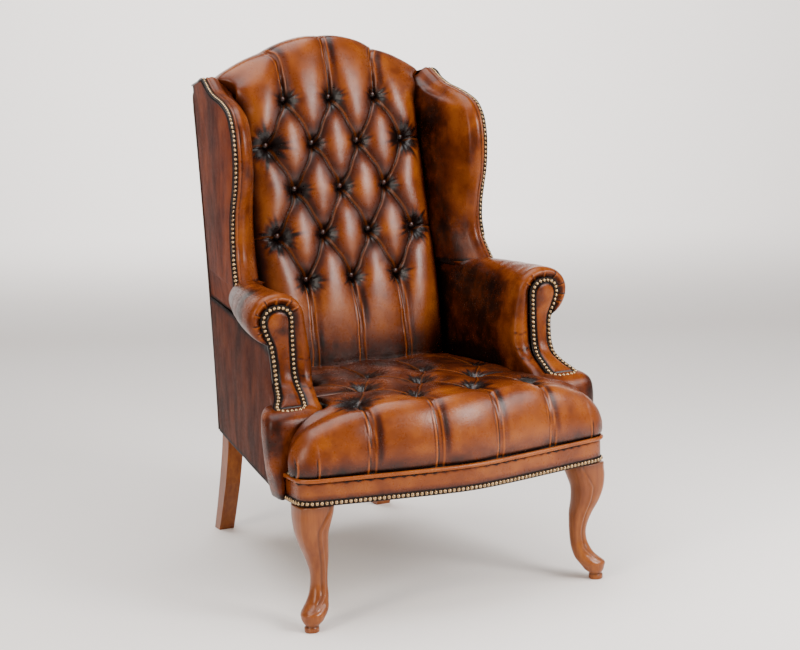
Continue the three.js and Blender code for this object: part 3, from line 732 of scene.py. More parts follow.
def cloth_offsets(name, grid, held):
    """How far each point of a coarse grid moves, up to MOST_MOVE, when it is blown out as cloth.

    The cloth is cut a little larger than the shape, as stretched hide is over its stuffing, so
    that it gathers into small wrinkles where it is held."""
    rows, cols = grid.shape[:2]
    mesh = bpy.data.meshes.new(name)
    mesh.from_pydata((grid.reshape(-1, 3) * MM).tolist(), [], grid_faces(rows, cols).tolist())
    cloth_piece = bpy.data.objects.new(name, mesh)
    bpy.context.collection.objects.link(cloth_piece)
    group = cloth_piece.vertex_groups.new(name="held")
    for index, weight in enumerate(held.reshape(-1)):
        if weight > 0.02:
            group.add([index], float(min(weight, 1.0)), "REPLACE")
    cloth = cloth_piece.modifiers.new("cloth", "CLOTH")
    settings = cloth.settings
    settings.quality = 5
    settings.mass = 0.4
    settings.tension_stiffness = 40
    settings.compression_stiffness = 30
    settings.shear_stiffness = 20
    settings.bending_stiffness = 12.0
    settings.vertex_group_mass = "held"
    settings.pin_stiffness = 1.0
    settings.shrink_min = -0.002
    settings.use_pressure = True
    settings.uniform_pressure_force = 3.0
    settings.effector_weights.gravity = 0
    cloth.collision_settings.use_collision = False
    cloth.point_cache.frame_start = 1
    cloth.point_cache.frame_end = CLOTH_FRAMES
    scene = bpy.context.scene
    for step in range(1, CLOTH_FRAMES + 1):
        scene.frame_set(step)
    blown = cloth_piece.evaluated_get(bpy.context.evaluated_depsgraph_get())
    moved = np.empty(rows * cols * 3)
    blown.data.vertices.foreach_get("co", moved)
    offset = moved.reshape(rows, cols, 3) / MM - grid
    bpy.data.objects.remove(cloth_piece, do_unlink=True)
    scene.frame_set(1)
    far = np.maximum(np.linalg.norm(offset, axis=-1, keepdims=True), 1e-6)
    return offset * MOST_MOVE * np.tanh(far / MOST_MOVE) / far


def finer(field, rows, cols):
    """A coarse field resampled smoothly onto more rows and columns."""
    def along(values, count):
        at = np.linspace(0, values.shape[0] - 1, count)
        k = np.clip(np.floor(at).astype(int), 0, values.shape[0] - 2)
        t = (at - k).reshape(-1, *([1] * (values.ndim - 1)))
        return values[k] * (1 - t) + values[k + 1] * t
    fine = along(field, rows)
    return np.swapaxes(along(np.swapaxes(fine, 0, 1), cols), 0, 1)


def stuffed(name, grid, closest):
    """A buttoned sheet after it has settled as cloth over its stuffing, pinned at its folds and rim."""
    rows, cols = grid.shape[:2]
    r = np.linspace(0, rows - 1, rows // 3).round().astype(int)
    c = np.linspace(0, cols - 1, cols // 3).round().astype(int)
    held = bell(closest[np.ix_(r, c)], 5)
    held[:2] = held[-2:] = held[:, :2] = held[:, -2:] = 1
    offset = finer(cloth_offsets(name, grid[np.ix_(r, c)], held), rows, cols)
    return grid + offset * (1 - bell(closest, 3.5))[..., None]


# ------ back
# How often the bend from the back's face into its crest is eased.
EASING_PASSES = 500


def back_base(rows_low, rows_high, cols):
    """The back's crown surface before it is buttoned, and its flattened-out coordinates."""
    low_z = np.linspace(BACK_FOOT_Z, BACK_BEND_Z, rows_low)
    grid = np.zeros((rows_low + rows_high, cols, 3))
    flat_a = np.zeros(grid.shape[:2])
    flat_b = np.zeros(grid.shape[:2])
    for j, u in enumerate(np.linspace(-1, 1, cols)):
        x = BACK_HALF * u
        below = unit((BACK_ROW_LOW - low_z) / 170)
        rise = unit((low_z - BACK_FOOT_Z) / (BACK_BEND_Z - BACK_FOOT_Z))
        y = back_front_y(low_z) + 20 * below**2 + 5 * np.sin(PI * rise)
        top = crest_z(x * CREST_HALF / BACK_HALF)
        over = spline([(y[-1], BACK_BEND_Z), (lerp(y[-1], 200, 0.36), lerp(BACK_BEND_Z, top, 0.50)),
                       (192, top - 9), (222, top + 1), (262, top - 4), (303, top - 19), (334, top - 42),
                       (339, top - 66)], rows_high + 1)[1:]
        widen = lerp(BACK_HALF, CREST_HALF, smooth((over[:, 0] - 180) / 36))
        grid[:rows_low, j] = np.stack([np.full(rows_low, x), y, low_z], axis=1)
        grid[rows_low:, j] = np.stack([widen * u, over[:, 0], over[:, 1]], axis=1)
        step = run_along(over)[-1] / rows_high
        flat_b[:rows_low, j] = low_z
        flat_b[rows_low:, j] = BACK_BEND_Z + step * np.arange(1, rows_high + 1)
        flat_a[:, j] = x
    eased = bell(np.arange(len(grid)) - rows_low, 16.0)[1:-1, None, None] * 0.5
    for _ in range(EASING_PASSES):
        grid[1:-1] += eased * ((grid[:-2] + grid[2:]) / 2 - grid[1:-1])
    return grid, flat_a, flat_b


def back_piece():
    rows_low, rows_high, cols = 262, 130, 200
    grid, a, b = back_base(rows_low, rows_high, cols)
    rows = [row_of(3 if k % 2 == 0 else 4, BACK_COLUMN, BACK_ROW_LOW + BACK_ROW_PITCH * k,
                   halo=1.0, outer=1.15 if k % 2 == 0 else 1.6) for k in range(5)]
    folds = lattice_folds(rows, BACK_DEPTH, BACK_DEPTH * 0.42)
    for x, z, _ in rows[4]:
        folds.append(((x, z), (x * 1.16, z + 330), BACK_DEPTH, 5.0, 1.0, 0.0, "pleat"))
    for x, z, _ in rows[0]:
        folds.append(((x, z), (x * 1.04, z - 190), BACK_DEPTH, 7.0, 5.0, 0.0, "pleat"))
    for row in (rows[1], rows[3]):
        for x, z, _ in (row[0], row[-1]):
            folds.append(((x, z), (math.copysign(214, x), z + 2), BACK_DEPTH, 12.0, 10.0, 0.0, "plain"))
    buttons = [p for row in rows for p in row]
    drop, dark, rub, closest = tufting(a, b, buttons, folds, reach=43.0, fade=18.0, seed=11)
    edge = unit((np.abs(a) - (BACK_HALF - 62)) / 62)
    upper = smooth((b - 930) / 60)
    drop += (48 - 28 * upper) * (1 - np.sqrt(np.maximum(0, 1 - edge**2.1))) * (1 - 0.45 * upper)
    drop += 3.5 * (a / BACK_HALF) ** 2
    drop += 8 * unit((430 - b) / 40) ** 2
    grid = grid - grid_normals(grid) * drop[..., None]
    grid = stuffed("back_cloth", grid, closest)
    side_shade = smooth((np.abs(a) - 176) / 26) * (1 - 0.7 * smooth((b - 940) / 40))
    # Painted shade darkens both sides of the back by the wings, and its foot, where it runs down behind the
    # seat.
    dark = most(dark, 0.75 * side_shade, 0.62 * smooth((500 - b) / 85))
    layers = {"dark": dark, "rub": rub}
    made = closed_sheet("back_hide", grid, (0, 40, -10), HIDE, layers, shell=False)
    stand_for(made, ["back_pad"])
    return rows


# ------ seat
def ear_height(x):
    """How much lower than a level seat the top stands towards its ears, as a share of its height."""
    at = [0, 140, 180, 212, 243, 272, 289, 300, 312, 322, 330, 335]
    share = [1, 1, 0.97, 0.92, 0.855, 0.775, 0.725, 0.69, 0.665, 0.68, 0.76, 0.92]
    curve = spline(list(zip(at, share)), 120)
    return np.interp(np.abs(x), curve[:, 0], curve[:, 1])


def lip(m, out, down, skirt):
    """How far a rounded edge has gone out and down after the share m of its run."""
    quarter = PI / 2 * (out + down) / 2
    total = quarter + skirt
    along = m * total
    turn = unit(along / quarter) * PI / 2
    below = np.maximum(0, along - quarter)
    tuck = 9 * smooth(below / skirt) ** 1.5
    return out * np.sin(turn) - tuck, down * (1 - np.cos(turn)) + below, along


def seat_bow(x):
    """How much lower than its middle the seat stands at x."""
    return 7 * (x / 290) ** 2


def seat_base(inner, edge, top_rows):
    """The T-shaped seat before it is buttoned. The sheet runs over its front and sides down to
    the welt; each corner joins the two lips as a quarter round."""
    cols, rows = inner + 2 * edge, edge + top_rows
    out, down, skirt = 46.0, 92.0, 46.0
    grid = np.zeros((rows, cols, 3))
    flat_a, flat_b = np.zeros((rows, cols)), np.zeros((rows, cols))
    col = np.arange(cols)
    u = np.clip((col - edge) / (inner - 1) * 2 - 1, -1, 1)
    over_side = np.maximum(edge - col, col - (cols - 1 - edge)).clip(0) / edge
    sign = np.sign(u + 1e-9)
    for r in range(rows):
        over_front = max(0, edge - r) / edge
        share = max(0, r - edge) / (top_rows - 1)
        start = bow_y(np.abs(u) * 292) + out
        y = lerp(start, SEAT_HIGH[1] + 2, share)
        wide = SEAT_HIGH[0] - out - 11 * smooth((y + 335) / 35)
        narrow = lerp(237, 213, unit((y + 293) / 380)) - 17
        shoulder = smooth((y + 302) / 24)
        half = lerp(wide, narrow, shoulder)
        side_out = lerp(out, 17, shoulder)
        side_down = lerp(down, 55, shoulder)
        side_skirt = lerp(skirt, 25, shoulder)
        furthest = most(over_side, over_front)
        norm = np.hypot(over_side, over_front) + 1e-9
        to_side, to_front = over_side / norm, over_front / norm
        front_out, front_drop, front_run = lip(furthest, out, down, skirt)
        s_out, s_drop, s_run = lip(furthest, side_out, side_down, side_skirt)
        if over_front > 0:
            s_out, s_drop, s_run = front_out, front_drop, front_run
        x = sign * (np.abs(u) * half + s_out * to_side)
        y_at = y - front_out * to_front
        drop = np.where(furthest > 0, np.where(to_front > 0, front_drop, s_drop), 0)
        crown = SEAT_CROWN - 9 * unit((y + 120) / 215) ** 1.5 - seat_bow(np.abs(u) * half)
        height = crown - drop
        ahead = lerp(0.45, 1.0, smooth((-285 - y) / 30))
        height = WELT_Z + (height - WELT_Z) * lerp(1.0, ear_height(x), ahead)
        grid[r] = np.stack([x, y_at, height], axis=1)
        flat_a[r] = sign * (np.abs(u) * half + s_run * to_side)
        flat_b[r] = y - front_run * to_front
    return grid, flat_a, flat_b


def seat_piece():
    edge = 50
    grid, a, b = seat_base(210, edge, 190)
    counts = (4, 3, 4)
    rows = [row_of(n, SEAT_COLUMN, y, halo=1.45, outer=1.6) for n, y in zip(counts, SEAT_ROWS)]
    folds = lattice_folds(rows, SEAT_DEPTH, SEAT_DEPTH * 0.55, bow=13.0)
    for x, y, _ in rows[0]:
        folds.append(((x, y), (x * 1.05, y - 215), SEAT_DEPTH, 6.0, 3.0, 0.0, "pleat"))
    for x, y, _ in rows[2]:
        folds.append(((x, y), (x, y + 130), SEAT_DEPTH, 9.0, 5.0, 0.0, "plain"))
    for x, y, _ in (rows[1][0], rows[1][-1]):
        folds.append(((x, y), (math.copysign(228, x), y + 8), SEAT_DEPTH, 11.0, 6.0, 8.0, "plain"))
    buttons = [p for row in rows for p in row]
    drop, dark, rub, closest = tufting(a, b, buttons, folds, reach=46.0, fade=17.0, seed=23)
    shoulder_line = unit((b + 304) / 26) * smooth((np.abs(a) - 226) / 12)
    drop += 12 * (1 - np.sqrt(np.maximum(0, 1 - shoulder_line**2)))
    for x, y in ((325, -350), (291, -366)):
        side = np.abs(grid[..., 0]) - x
        near = smooth((40 - np.abs(grid[..., 1] - y)) / 15) * smooth((330 - grid[..., 2]) / 14)
        slit = bell(side, 1.3) * near
        lip_line = bell(side + 3.0, 1.3) * near
        drop += 2.2 * slit - 1.0 * lip_line
        dark = most(dark, 0.8 * slit)
        rub = most(rub, 0.8 * lip_line)
    grid = grid - grid_normals(grid) * drop[..., None]
    grid = stuffed("seat_cloth", grid, closest)
    # Painted shade darkens the seat's sides where they run against the arms, its rear where it runs under the
    # back, and a thin line just above the welt.
    arm_side_shade = smooth((np.abs(a) - 196) / 30) * smooth((b + 285) / 40)
    worn = 0.38 + 0.22 * noise(grid, 46, 19) + 0.12 * noise(grid, 17, 20)
    low = smooth((332 - grid[..., 2]) / 40)
    dark = most(dark, 0.85 * arm_side_shade, 0.8 * smooth((b - 30) / 50), worn * smooth((b + 345) / 70),
                0.95 * smooth((298 - grid[..., 2]) / 5), (0.5 + 0.2 * noise(grid, 30, 21)) * low)
    layers = {"dark": dark, "rub": rub}
    made = closed_sheet("seat_hide", grid, (0, 0, -6), HIDE, layers, shell=False)
    stand_for(made, ["seat_pad"])
    return rows


# ------ buttons
BUTTON_CROWN = 5.2


def covered_buttons(name, places, normal, node):
    """Buttons covered in hide: a dome with a creased rim, each one turned a little differently."""
    rng = np.random.default_rng(len(name) + len(places))
    profile = [(2.4, 5.0), (4.8, 4.2), (6.8, 2.9), (8.2, 1.2), (8.8, -0.6), (8.4, -2.6), (7.0, -4.2)]
    around = 28
    turn = 2 * PI * np.arange(around) / around
    vertices, faces, dark = [], [], []
    for centre in places:
        crease = 0.03 * np.sin(9 * turn + rng.uniform(0, 6))
        rings = [(radius * (1 + crease * smooth((radius - 4) / 4)), height) for radius, height in profile]
        add_head(vertices, faces, centre, normal, (0.1, 0.35, 0.93), rings, BUTTON_CROWN, profile[-1][1])
        for radius, _ in profile:
            dark.extend([0.5 + 0.5 * float(smooth((radius - 3) / 5))] * around)
        dark.extend([0.5, 1.0])
    made = make_piece(name, vertices, faces, HIDE, {"dark": dark})
    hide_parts(node)


def all_buttons(back_rows, seat_rows):
    rake = math.atan(BACK_RAKE)
    lean = np.array([0, -math.cos(rake), math.sin(rake)])
    upright = np.array([0, 0, 1.0])
    for k, row in enumerate(back_rows):
        places = [np.array([x, back_front_y(z) + BACK_DEPTH + 0.5, z]) for x, z, _ in row]
        covered_buttons(f"back_buttons_{k + 1}", places, lean, f"back_button_row_{k + 1}")
    for k, row in enumerate(seat_rows):
        places = [np.array([x, y, SEAT_CROWN - SEAT_DEPTH - 1 - seat_bow(x)]) for x, y, _ in row]
        covered_buttons(f"seat_buttons_{k + 1}", places, upright, f"seat_button_row_{k + 1}")


# ------ arms
# Points of a section on its inner wall, over the roll and under it, and rows round its front edge.
WALL, CROWN, UNDER, ROUND = 62, 66, 36, 20
# Angles round the front of the roll at which the hide is gathered, 0 outwards and 90 up.
GATHERS = (-34, -10, 21, 58, 91, 124, 149)
GATHER_FROM = 176


def arm_section(y):
    """Section of an arm at y: up the inner wall, over the roll and back under it to the seam."""
    t = unit((y - ARM_FRONT) / (ARM_REAR - ARM_FRONT))
    inner, wide, tall, bow = lerp(228, 206, t), lerp(57, 26, t), lerp(50, 26, t), lerp(10, 2, t)
    turn_in = 1 - np.sqrt(1 - unit((y - 8) / 24) ** 2)
    outer = lerp(lerp(343, 264, t**1.5), 266 - 12 * unit((y - 32) / 90), turn_in)
    cx, cz = outer - wide, ARM_TOP - tall - 9 * turn_in
    ahead = unit((y - ARM_FRONT) / 230)
    back = smooth(ahead)

    def arc(first, last, count):
        turn = np.radians(np.linspace(first, last, count))
        return np.stack([cx + wide * np.cos(turn), cz + tall * np.sin(turn)], axis=1)

    first = lerp(GATHER_FROM, 108, ahead)
    start = arc(first, first - 1, 2)[0]
    waist = np.array((inner + lerp(-5, -1, back), 520))
    rise = lerp(lerp(waist, start, 0.42), np.array((inner + 3, 566)), back)
    turn = lerp(lerp(waist, start, 0.72), np.array((inner + 10, 588)), back)
    wall = spline([(inner + 3, 366), (inner - 1, 410), (inner - bow, 455), (inner - bow + 1, 490),
                   waist, rise, turn, start], WALL + 1)[:-1]
    low = arc(0, lerp(-62, -78, t), 20)
    seam = (arm_outer_x(y, 508) + lerp(1.5, -3.0, turn_in), lerp(FACING_SEAM_Z, 510, unit(4 * t)))
    to_seam = spline([low[-1], lerp(low[-1], np.array(seam), 0.6) + (1, 1), seam], 8)[1:]
    under = evenly(np.vstack([low, to_seam]), UNDER)
    return np.vstack([wall, arc(first, 0, CROWN + 1)[:-1], under])


def facing_edge(section):
    """The point of the facing's outline that each point of the front section runs to."""
    z = section[:WALL, 1]
    z = np.where(z < 500, z, 500 + (z - 500) * (ARCH_CENTRE[1] - 500) / (section[WALL, 1] - 500))
    up = np.stack([facing_inner(z), z], axis=1)
    arch = np.stack(facing_arch(np.linspace(PI, 0, CROWN), FACING_RIM), axis=1)
    down = np.linspace(ARCH_CENTRE[1], FACING_SEAM_Z, UNDER)
    return np.vstack([up, arch, np.stack([facing_outer(down), down], axis=1)])


def arm_pieces():
    rows, rear = 96, 120
    front = arm_section(ARM_FRONT)
    edge = facing_edge(front)
    width = np.linalg.norm(edge - front, axis=1)
    bulge = np.clip(0.8 * width, 3, 20)
    count = len(front)
    start_y = facing_y(front[:, 1]) - 6 + bulge
    grid = np.zeros((rows + ROUND, count, 3))
    for r, f in enumerate(np.linspace(0, 1, rows)):
        section = arm_section(lerp(rear, ARM_FRONT, f))
        grid[r] = np.stack([section[:, 0], lerp(rear, start_y, f), section[:, 1]], axis=1)
    end_y = facing_y(edge[:, 1]) - 1
    for r in range(ROUND):
        q = (r + 1) / ROUND
        flat = front + (edge - front) * (1 - math.cos(PI / 2 * q))
        ahead = start_y - bulge * math.sin(PI / 2 * min(1, q / 0.72))
        back = smooth((q - 0.66) / 0.34)
        grid[rows + r] = np.stack([flat[:, 0], lerp(ahead, end_y, back), flat[:, 1]], axis=1)
    share = np.concatenate([np.zeros(rows), np.arange(1, ROUND + 1) / ROUND])[:, None]
    run = run_along(front)[None, :]
    swell, dark, rub = np.zeros((3, *grid.shape[:2]))
    rng = np.random.default_rng(5)
    for angle in GATHERS:
        at = WALL + CROWN * (GATHER_FROM - angle) / GATHER_FROM
        middle = np.interp(at, np.arange(count), run[0]) + 2.5 * (1 - share) * rng.uniform(-1, 1)
        reach = smooth((share - rng.uniform(0.3, 0.5)) / 0.35)
        gather = bell(run - middle, 0.7 + 1.5 * share) * reach
        hollow = bell(run - middle - 3.2, 1.6) * reach
        swell += 3.6 * gather - 1.5 * hollow
        dark = most(dark, 0.95 * gather)
        rub = most(rub, 0.9 * hollow)
    for z, depth in ((478, 0.8), (447, 1.1), (428, 0.7)):
        crease = bell(grid[..., 2] - z - 2 * np.sin(8 * share), 1.4)
        crease = crease * smooth((share - 0.15) / 0.2) * (np.arange(count) < WALL)[None, :]
        swell += depth * crease
        dark = most(dark, 0.4 * crease)
    swell += 0.45 * noise(grid * (1, 1, 0.25), 14, 7) * smooth((grid[..., 2] - 395) / 40)
    # The normals of this grid point into the arm.
    grid = grid - grid_normals(grid) * swell[..., None]
    y, z = grid[..., 1], grid[..., 2]
    column = np.arange(count)[None, :]
    inner_face = smooth((WALL + 8 - column) / 16)
    arch = smooth((column - WALL + 14) / 14)
    rolled = smooth((column - WALL - 0.35 * CROWN) / 20) * smooth((y + 165) / 60)
    # Painted shade darkens the rear of the arm below the wing, the foot of the inner wall down by the seat,
    # and the underside of the roll by its seam.
    dark = most(dark, 0.95 * smooth((share - 0.86) / 0.14), 0.45 * arch * smooth((share - 0.62) / 0.3),
                inner_face * smooth((y + 172) / 70) * (0.5 + 0.16 * noise(grid, 36, 15)),
                0.9 * smooth((y - 30) / 60) * smooth((592 - z) / 30),
                0.95 * inner_face * smooth((470 - z) / 60) * smooth((y + 168) / 60),
                0.8 * smooth((column - (count - 16)) / 14),
                rolled * (0.24 + 0.16 * noise(grid, 40, 16)))
    layers = {"dark": dark, "rub": rub}
    made = closed_sheet("left_arm_hide", grid, (0, 0, 0), ARM_HIDE, layers, shell=False)
    stand_for(made, ["left_arm_pad", "right_arm_pad"])


def on_facing(x, z, lift):
    """Points on the facing at x and z, lifted along the face's own normal."""
    y_in, y_out, x_in, x_out, slope = facing_lines(z)
    y = lerp(y_in, y_out, unit((x - x_in) / (x_out - x_in)))
    norm = np.sqrt(1 + slope**2)
    return np.stack([x, y - 4 - lift / norm, z + lift * slope / norm], axis=-1)


def facing_outline(count):
    """The facing's nail line, from the foot of its inner side round the arch and back along its foot."""
    z = FACING_TABLE[(FACING_TABLE[:, 0] > 400) & (FACING_TABLE[:, 0] < ARCH_CENTRE[1] - 2), 0]
    inner, outer = facing_lines(z)[2:4]
    arch = np.stack(facing_arch(np.linspace(PI - 0.06, 0.06, 24), 0), axis=1)
    foot = [(317.5, 398.6), (309, 396.6), (293, 396.2), (276, 396.6), (268, 398.6)]
    path = np.vstack([np.stack([inner, z], axis=1), arch, np.stack([outer, z], axis=1)[::-1], foot,
                      [(inner[0], z[0])]])
    return evenly(on_facing(path[:, 0], path[:, 1], 0.0), count)


def face_normals(path):
    slope = facing_lines(path[:, 2])[4]
    return normalised(np.stack([np.full(len(path), 0.05), -np.ones(len(path)), slope], axis=1))


def facing_pieces():
    low = FACING_TABLE[FACING_TABLE[:, 0] <= ARCH_CENTRE[1], 0][::2]
    rise = np.sin(np.linspace(0, PI / 2, 18)[1:-1])
    wide, tall = ARCH_WIDE + FACING_RIM, ARCH_TALL + FACING_RIM
    levels = np.concatenate([low, ARCH_CENTRE[1] + tall * rise])
    in_arch = levels > ARCH_CENTRE[1]
    across = np.linspace(-1, 1, 38)
    above = unit((levels - ARCH_CENTRE[1]) / tall)
    arch_half = wide * (1 - above ** (2 / ARCH_POWER)) ** (ARCH_POWER / 2)
    inner, outer = facing_inner(levels), facing_outer(levels)
    middle = np.where(in_arch, ARCH_CENTRE[0], (inner + outer) / 2)[:, None]
    half = np.where(in_arch, arch_half, (outer - inner) / 2)[:, None]
    x = middle + half * across[None, :]
    z = np.repeat(levels[:, None], len(across), axis=1)
    rim = half - np.abs(x - middle)
    top = np.hypot((x - ARCH_CENTRE[0]) / wide, np.maximum(z - ARCH_CENTRE[1], 0) / tall)
    rim = np.where(z > ARCH_CENTRE[1], (1 - top) * 33, rim)
    run = run_along(np.stack([levels, facing_y(levels)], axis=1))[:, None]
    inset = np.minimum(rim, run)
    puff = 6.5 * np.sqrt(1 - (1 - unit((inset - 10) / 13)) ** 2)
    grid = on_facing(x, z, puff)
    dark = most(0.95 * smooth((15 - inset) / 4), 0.35 * smooth((noise(grid, 30, 6) - 0.1) / 0.5))
    made = closed_sheet("left_facing_hide", grid, (0, 5, -3), ARM_HIDE, {"dark": dark})
    stand_for(made, ["left_arm_facing", "right_arm_facing"])
    path = facing_outline(200)
    normal = face_normals(path)
    section = rounded(2.4, 11.5, 3, 12)
    sweep("left_facing_gimp", path + normal * 0.8, *frame_along(path, normal), section, GIMP, "brass_nails")
    places = stations(facing_outline(500), NAIL_PITCH)[:-1]
    normals = face_normals(places)
    heads = studs("left_facing_nails", places + normals * 1.8, normals, SIDE_NAIL)
    stand_for(heads, ["left_arm_nail_strip", "right_arm_nail_strip"])


def foot_bolster():
    """The padded block under the front of the arm, closed by a low dome under the facing's foot."""
    # Height, inner x, outer x, front y and back y.
    levels = [(238.5, 323, 333, -286, -236), (250, 322, 337, -289, -236), (270, 321, 341, -290, -235),
              (290, 316, 345, -290, -234), (306, 262, 348, -290, -233), (330, 234, 350, -289.5, -232),
              (356, 228, 351, -289, -230), (376, 228, 350, -287, -227), (388, 230, 347, -282, -222),
              (396, 236, 340, -273, -214), (400.5, 246, 331, -262, -208), (402.5, 262, 318, -250, -206),
              (403, 280, 304, -240, -208)]
    table = spline(levels, 70)
    rings = []
    for z, inner, outer, front, back in table:
        outline = rounded(outer - inner, back - front, 3.4, 64) + ((inner + outer) / 2, (front + back) / 2)
        rings.append(np.column_stack([outline, np.full(len(outline), z)]))
    rings = np.array(rings)
    x, z = rings[..., 0], rings[..., 2]
    # Painted shade darkens the bolster towards its foot and on its inner side, where the seat lies against
    # it; the rest is mottled.
    dark = most(0.55 * smooth((262 - z) / 22), 0.8 * smooth((246 - x) / 16) * smooth((396 - z) / 14),
                0.30 * smooth((noise(rings, 34, 12) - 0.05) / 0.5))
    made = loft("left_foot_hide", rings, ARM_HIDE, {"dark": dark})
    stand_for(made, ["left_arm_foot_pad", "right_arm_foot_pad"])


# ------ wings
# Outer x, y and z along the wing's front edge, from the arm up to the rear corner.
WING_EDGE = [(291, 6, 592), (288.5, 17, 606), (282.5, 39, 646), (280, 45, 691), (280, 38, 737),
             (279.5, 22, 782), (279, 14, 827), (279, 15, 869), (278, 26, 905), (275, 50, 931), (270, 98, 949),
             (267, 160, 965), (263, 214, 993)]
# How far across and out of the edge each point of the wing's front roll stands.
WING_ROLL = [(8, 0), (12.5, 2), (17, 3.8), (23, 4), (31, -1), (40, -13)]
WING_LEAN = math.radians(22)


def wing_frames(count):
    """Points along the wing's edge with the directions inward across it and straight out of it."""
    edge = spline(WING_EDGE, count)
    z = edge[:, 2]
    rear = np.stack([rear_x(z), rear_y(z) - 1, np.minimum(z, REAR_TOP_Z)], axis=1)
    forward = normalised((edge - rear) * (1, 1, 0))
    inward = np.stack([forward[:, 1], -forward[:, 0], np.zeros(count)], axis=1)
    out = np.cross(inward, normalised(np.gradient(edge, axis=0)))
    out *= np.sign(out[:1, 1:2]) * -1
    return edge, rear, inward, out


def nail_line(edge, inward, out):
    """The line of the wing's nails, and the directions across it and straight out of it."""
    side = inward * math.cos(WING_LEAN) + out * math.sin(WING_LEAN)
    face = out * math.cos(WING_LEAN) - inward * math.sin(WING_LEAN)
    return edge + inward * 3.4 - out * 2.4, side, face


def wing_pieces():
    rows = 190
    edge, _, inward, out = wing_frames(rows)
    grid = []
    for e, n, o in zip(edge, inward, out):
        z = e[2]
        sink = 5 * smooth((z - 900) / 50)
        meet = np.array([203, max(back_front_y(z) + 50, e[1] + 40), z - sink])
        roll = [e + n * across + o * rise for across, rise in WING_ROLL]
        short = 1 - smooth((z - 900) / 80)
        middle = [lerp(roll[-1], meet, 0.35) + n * (3 + 5 * short),
                  lerp(roll[-1], meet, 0.72) + n * (1 + 4 * short)]
        grid.append(spline(roll + middle + [meet, meet + (6, 14, 0)], 76))
    grid = np.array(grid)
    col = np.arange(grid.shape[1])[None, :] / (grid.shape[1] - 1)
    # The pad darkens across its inner face; painted shade deepens it in the crevice where it meets the back
    # and along its foot on the arm, and the front edge darkens at its seam.
    dark = 0.38 * smooth((col - 0.28) / 0.25) + 0.45 * smooth((col - 0.86) / 0.1)
    dark = most(dark, 0.75 * smooth((606 - grid[..., 2]) / 8), 0.9 * smooth((0.05 - col) / 0.04))
    grid[..., 0] += 0.5 * noise(grid, 26, 4)
    made = closed_sheet("left_wing_hide", grid, (10, 6, -4), ARM_HIDE, {"dark": dark})
    stand_for(made, ["left_wing_pad", "right_wing_pad"])
    band, side, face = nail_line(edge, inward, out)
    gimp = sweep("left_wing_gimp", band, side, face, rounded(13.5, 4.0, 4, 14), GIMP, "brass_nails")
    stand_for(gimp, ["left_wing_border", "right_wing_border"])
    piping = band + side * 8.4 + face * 0.4
    sweep("left_wing_piping", piping, inward, out, rounded(6.4, 5.6, 2, 14), CORD_HIDE, "welt_leather")
    fine, _, inward, out = wing_frames(900)
    band, _, face = nail_line(fine, inward, out)
    seats = stations(np.hstack([band + face * 1.6, face]), NAIL_PITCH)
    heads = studs("left_wing_nails", seats[:, :3], seats[:, 3:], SIDE_NAIL, seed=8)
    stand_for(heads, ["left_wing_nail_strip", "right_wing_nail_strip"])


def outside_wing():
    rows, cols = 150, 60
    edge, rear, _, _ = wing_frames(rows)
    u = smooth(np.linspace(0, 1, cols)) * 0.5 + np.linspace(0, 1, cols) * 0.5
    top_z = WING_EDGE[0][2] - 2
    grid = []
    for f in np.linspace(0, 1, 24):
        front = np.array([lerp(arm_outer_x(12, 505) - 6, 280, f), 12, lerp(SEAM_FRONT + 2, top_z, f)])
        z = lerp(SEAM_REAR + 2, top_z, f)
        back = np.array([rear_x(z), rear_y(z) - 1, z])
        grid.append(lerp(front, back, u[:, None]))
    for e, r in zip(edge, rear):
        grid.append(lerp(e, r, u[:, None]))
    grid = np.array(grid)
    height = np.linspace(0, 1, len(grid))[:, None]
    puff = 4.5 * np.sin(PI * u)[None, :] ** 0.7 * np.sin(PI * height) ** 0.5
    grid[..., 0] += puff + 0.7 * noise(grid * (1, 1, 0.35), 60, 9)
    rim = np.minimum(np.minimum(u, 1 - u)[None, :] * 200, np.minimum(height, 1 - height) * 480)
    dark = 0.6 * smooth((9 - rim) / 9)
    layers = {"dark": dark}
    made = closed_sheet("left_wing_panel", grid, (-8, 0, 0), WING_PANEL_HIDE, layers)
    stand_for(made, ["left_outside_wing", "right_outside_wing"])
    top = spline([rear[-1] + (1, 0, 0), lerp(rear[-1], edge[-1], 0.5), edge[-1], *edge[-12:-140:-10]], 170)
    welt("left_wing_cord", top, (1, 0, 0), 4.0, 10, dark=0.75)


# ------ outside arms and back
def outside_arm():
    rows, cols = 110, 80
    v = np.linspace(0, 1, rows)[:, None]
    u = np.linspace(0, 1, cols)[None, :]
    slope = lerp(508.0, SEAM_FRONT, smooth(u / 0.35)) + (SEAM_REAR - SEAM_FRONT) * smooth((u - 0.35) / 0.65)
    z = lerp(PANEL_FOOT_Z, slope, v)
    foot = smooth((z - 392) / 12)
    front = lerp(-240.0, np.maximum(facing_lines(z)[1] - 1, -252), foot)
    y = lerp(front, rear_y(z) - 1, u)
    x = arm_outer_x(y, z)
    gap = np.where(z > 398, facing_outer(z) - 0.5 - arm_outer_x(front, z), 0)
    x = x + gap * smooth((60 - (y - front)) / 60)
    x += 4.0 * np.sin(PI * u) ** 0.6 * np.sin(PI * v) ** 0.6
    grid = np.stack([x, y, z], axis=2)
    grid[..., 0] += 0.8 * noise(grid * (1, 1, 0.5), 70, 13)
    below = slope - z
    rim = np.minimum(np.minimum(y - front, rear_y(z) - 1 - y), np.minimum(z - PANEL_FOOT_Z, below))
    # Painted shade lies in a band under the roll's overhang, deepest towards the front; the rim darkens at
    # the seams.
    dark = most(0.65 * smooth((11 - rim) / 11), 0.85 * smooth((26 - below) / 26) * smooth((0.62 - u) / 0.2))
    made = closed_sheet("left_arm_panel", grid, (-8, 0, 0), PANEL_HIDE, {"dark": dark})
    stand_for(made, ["left_outside_arm", "right_outside_arm"])


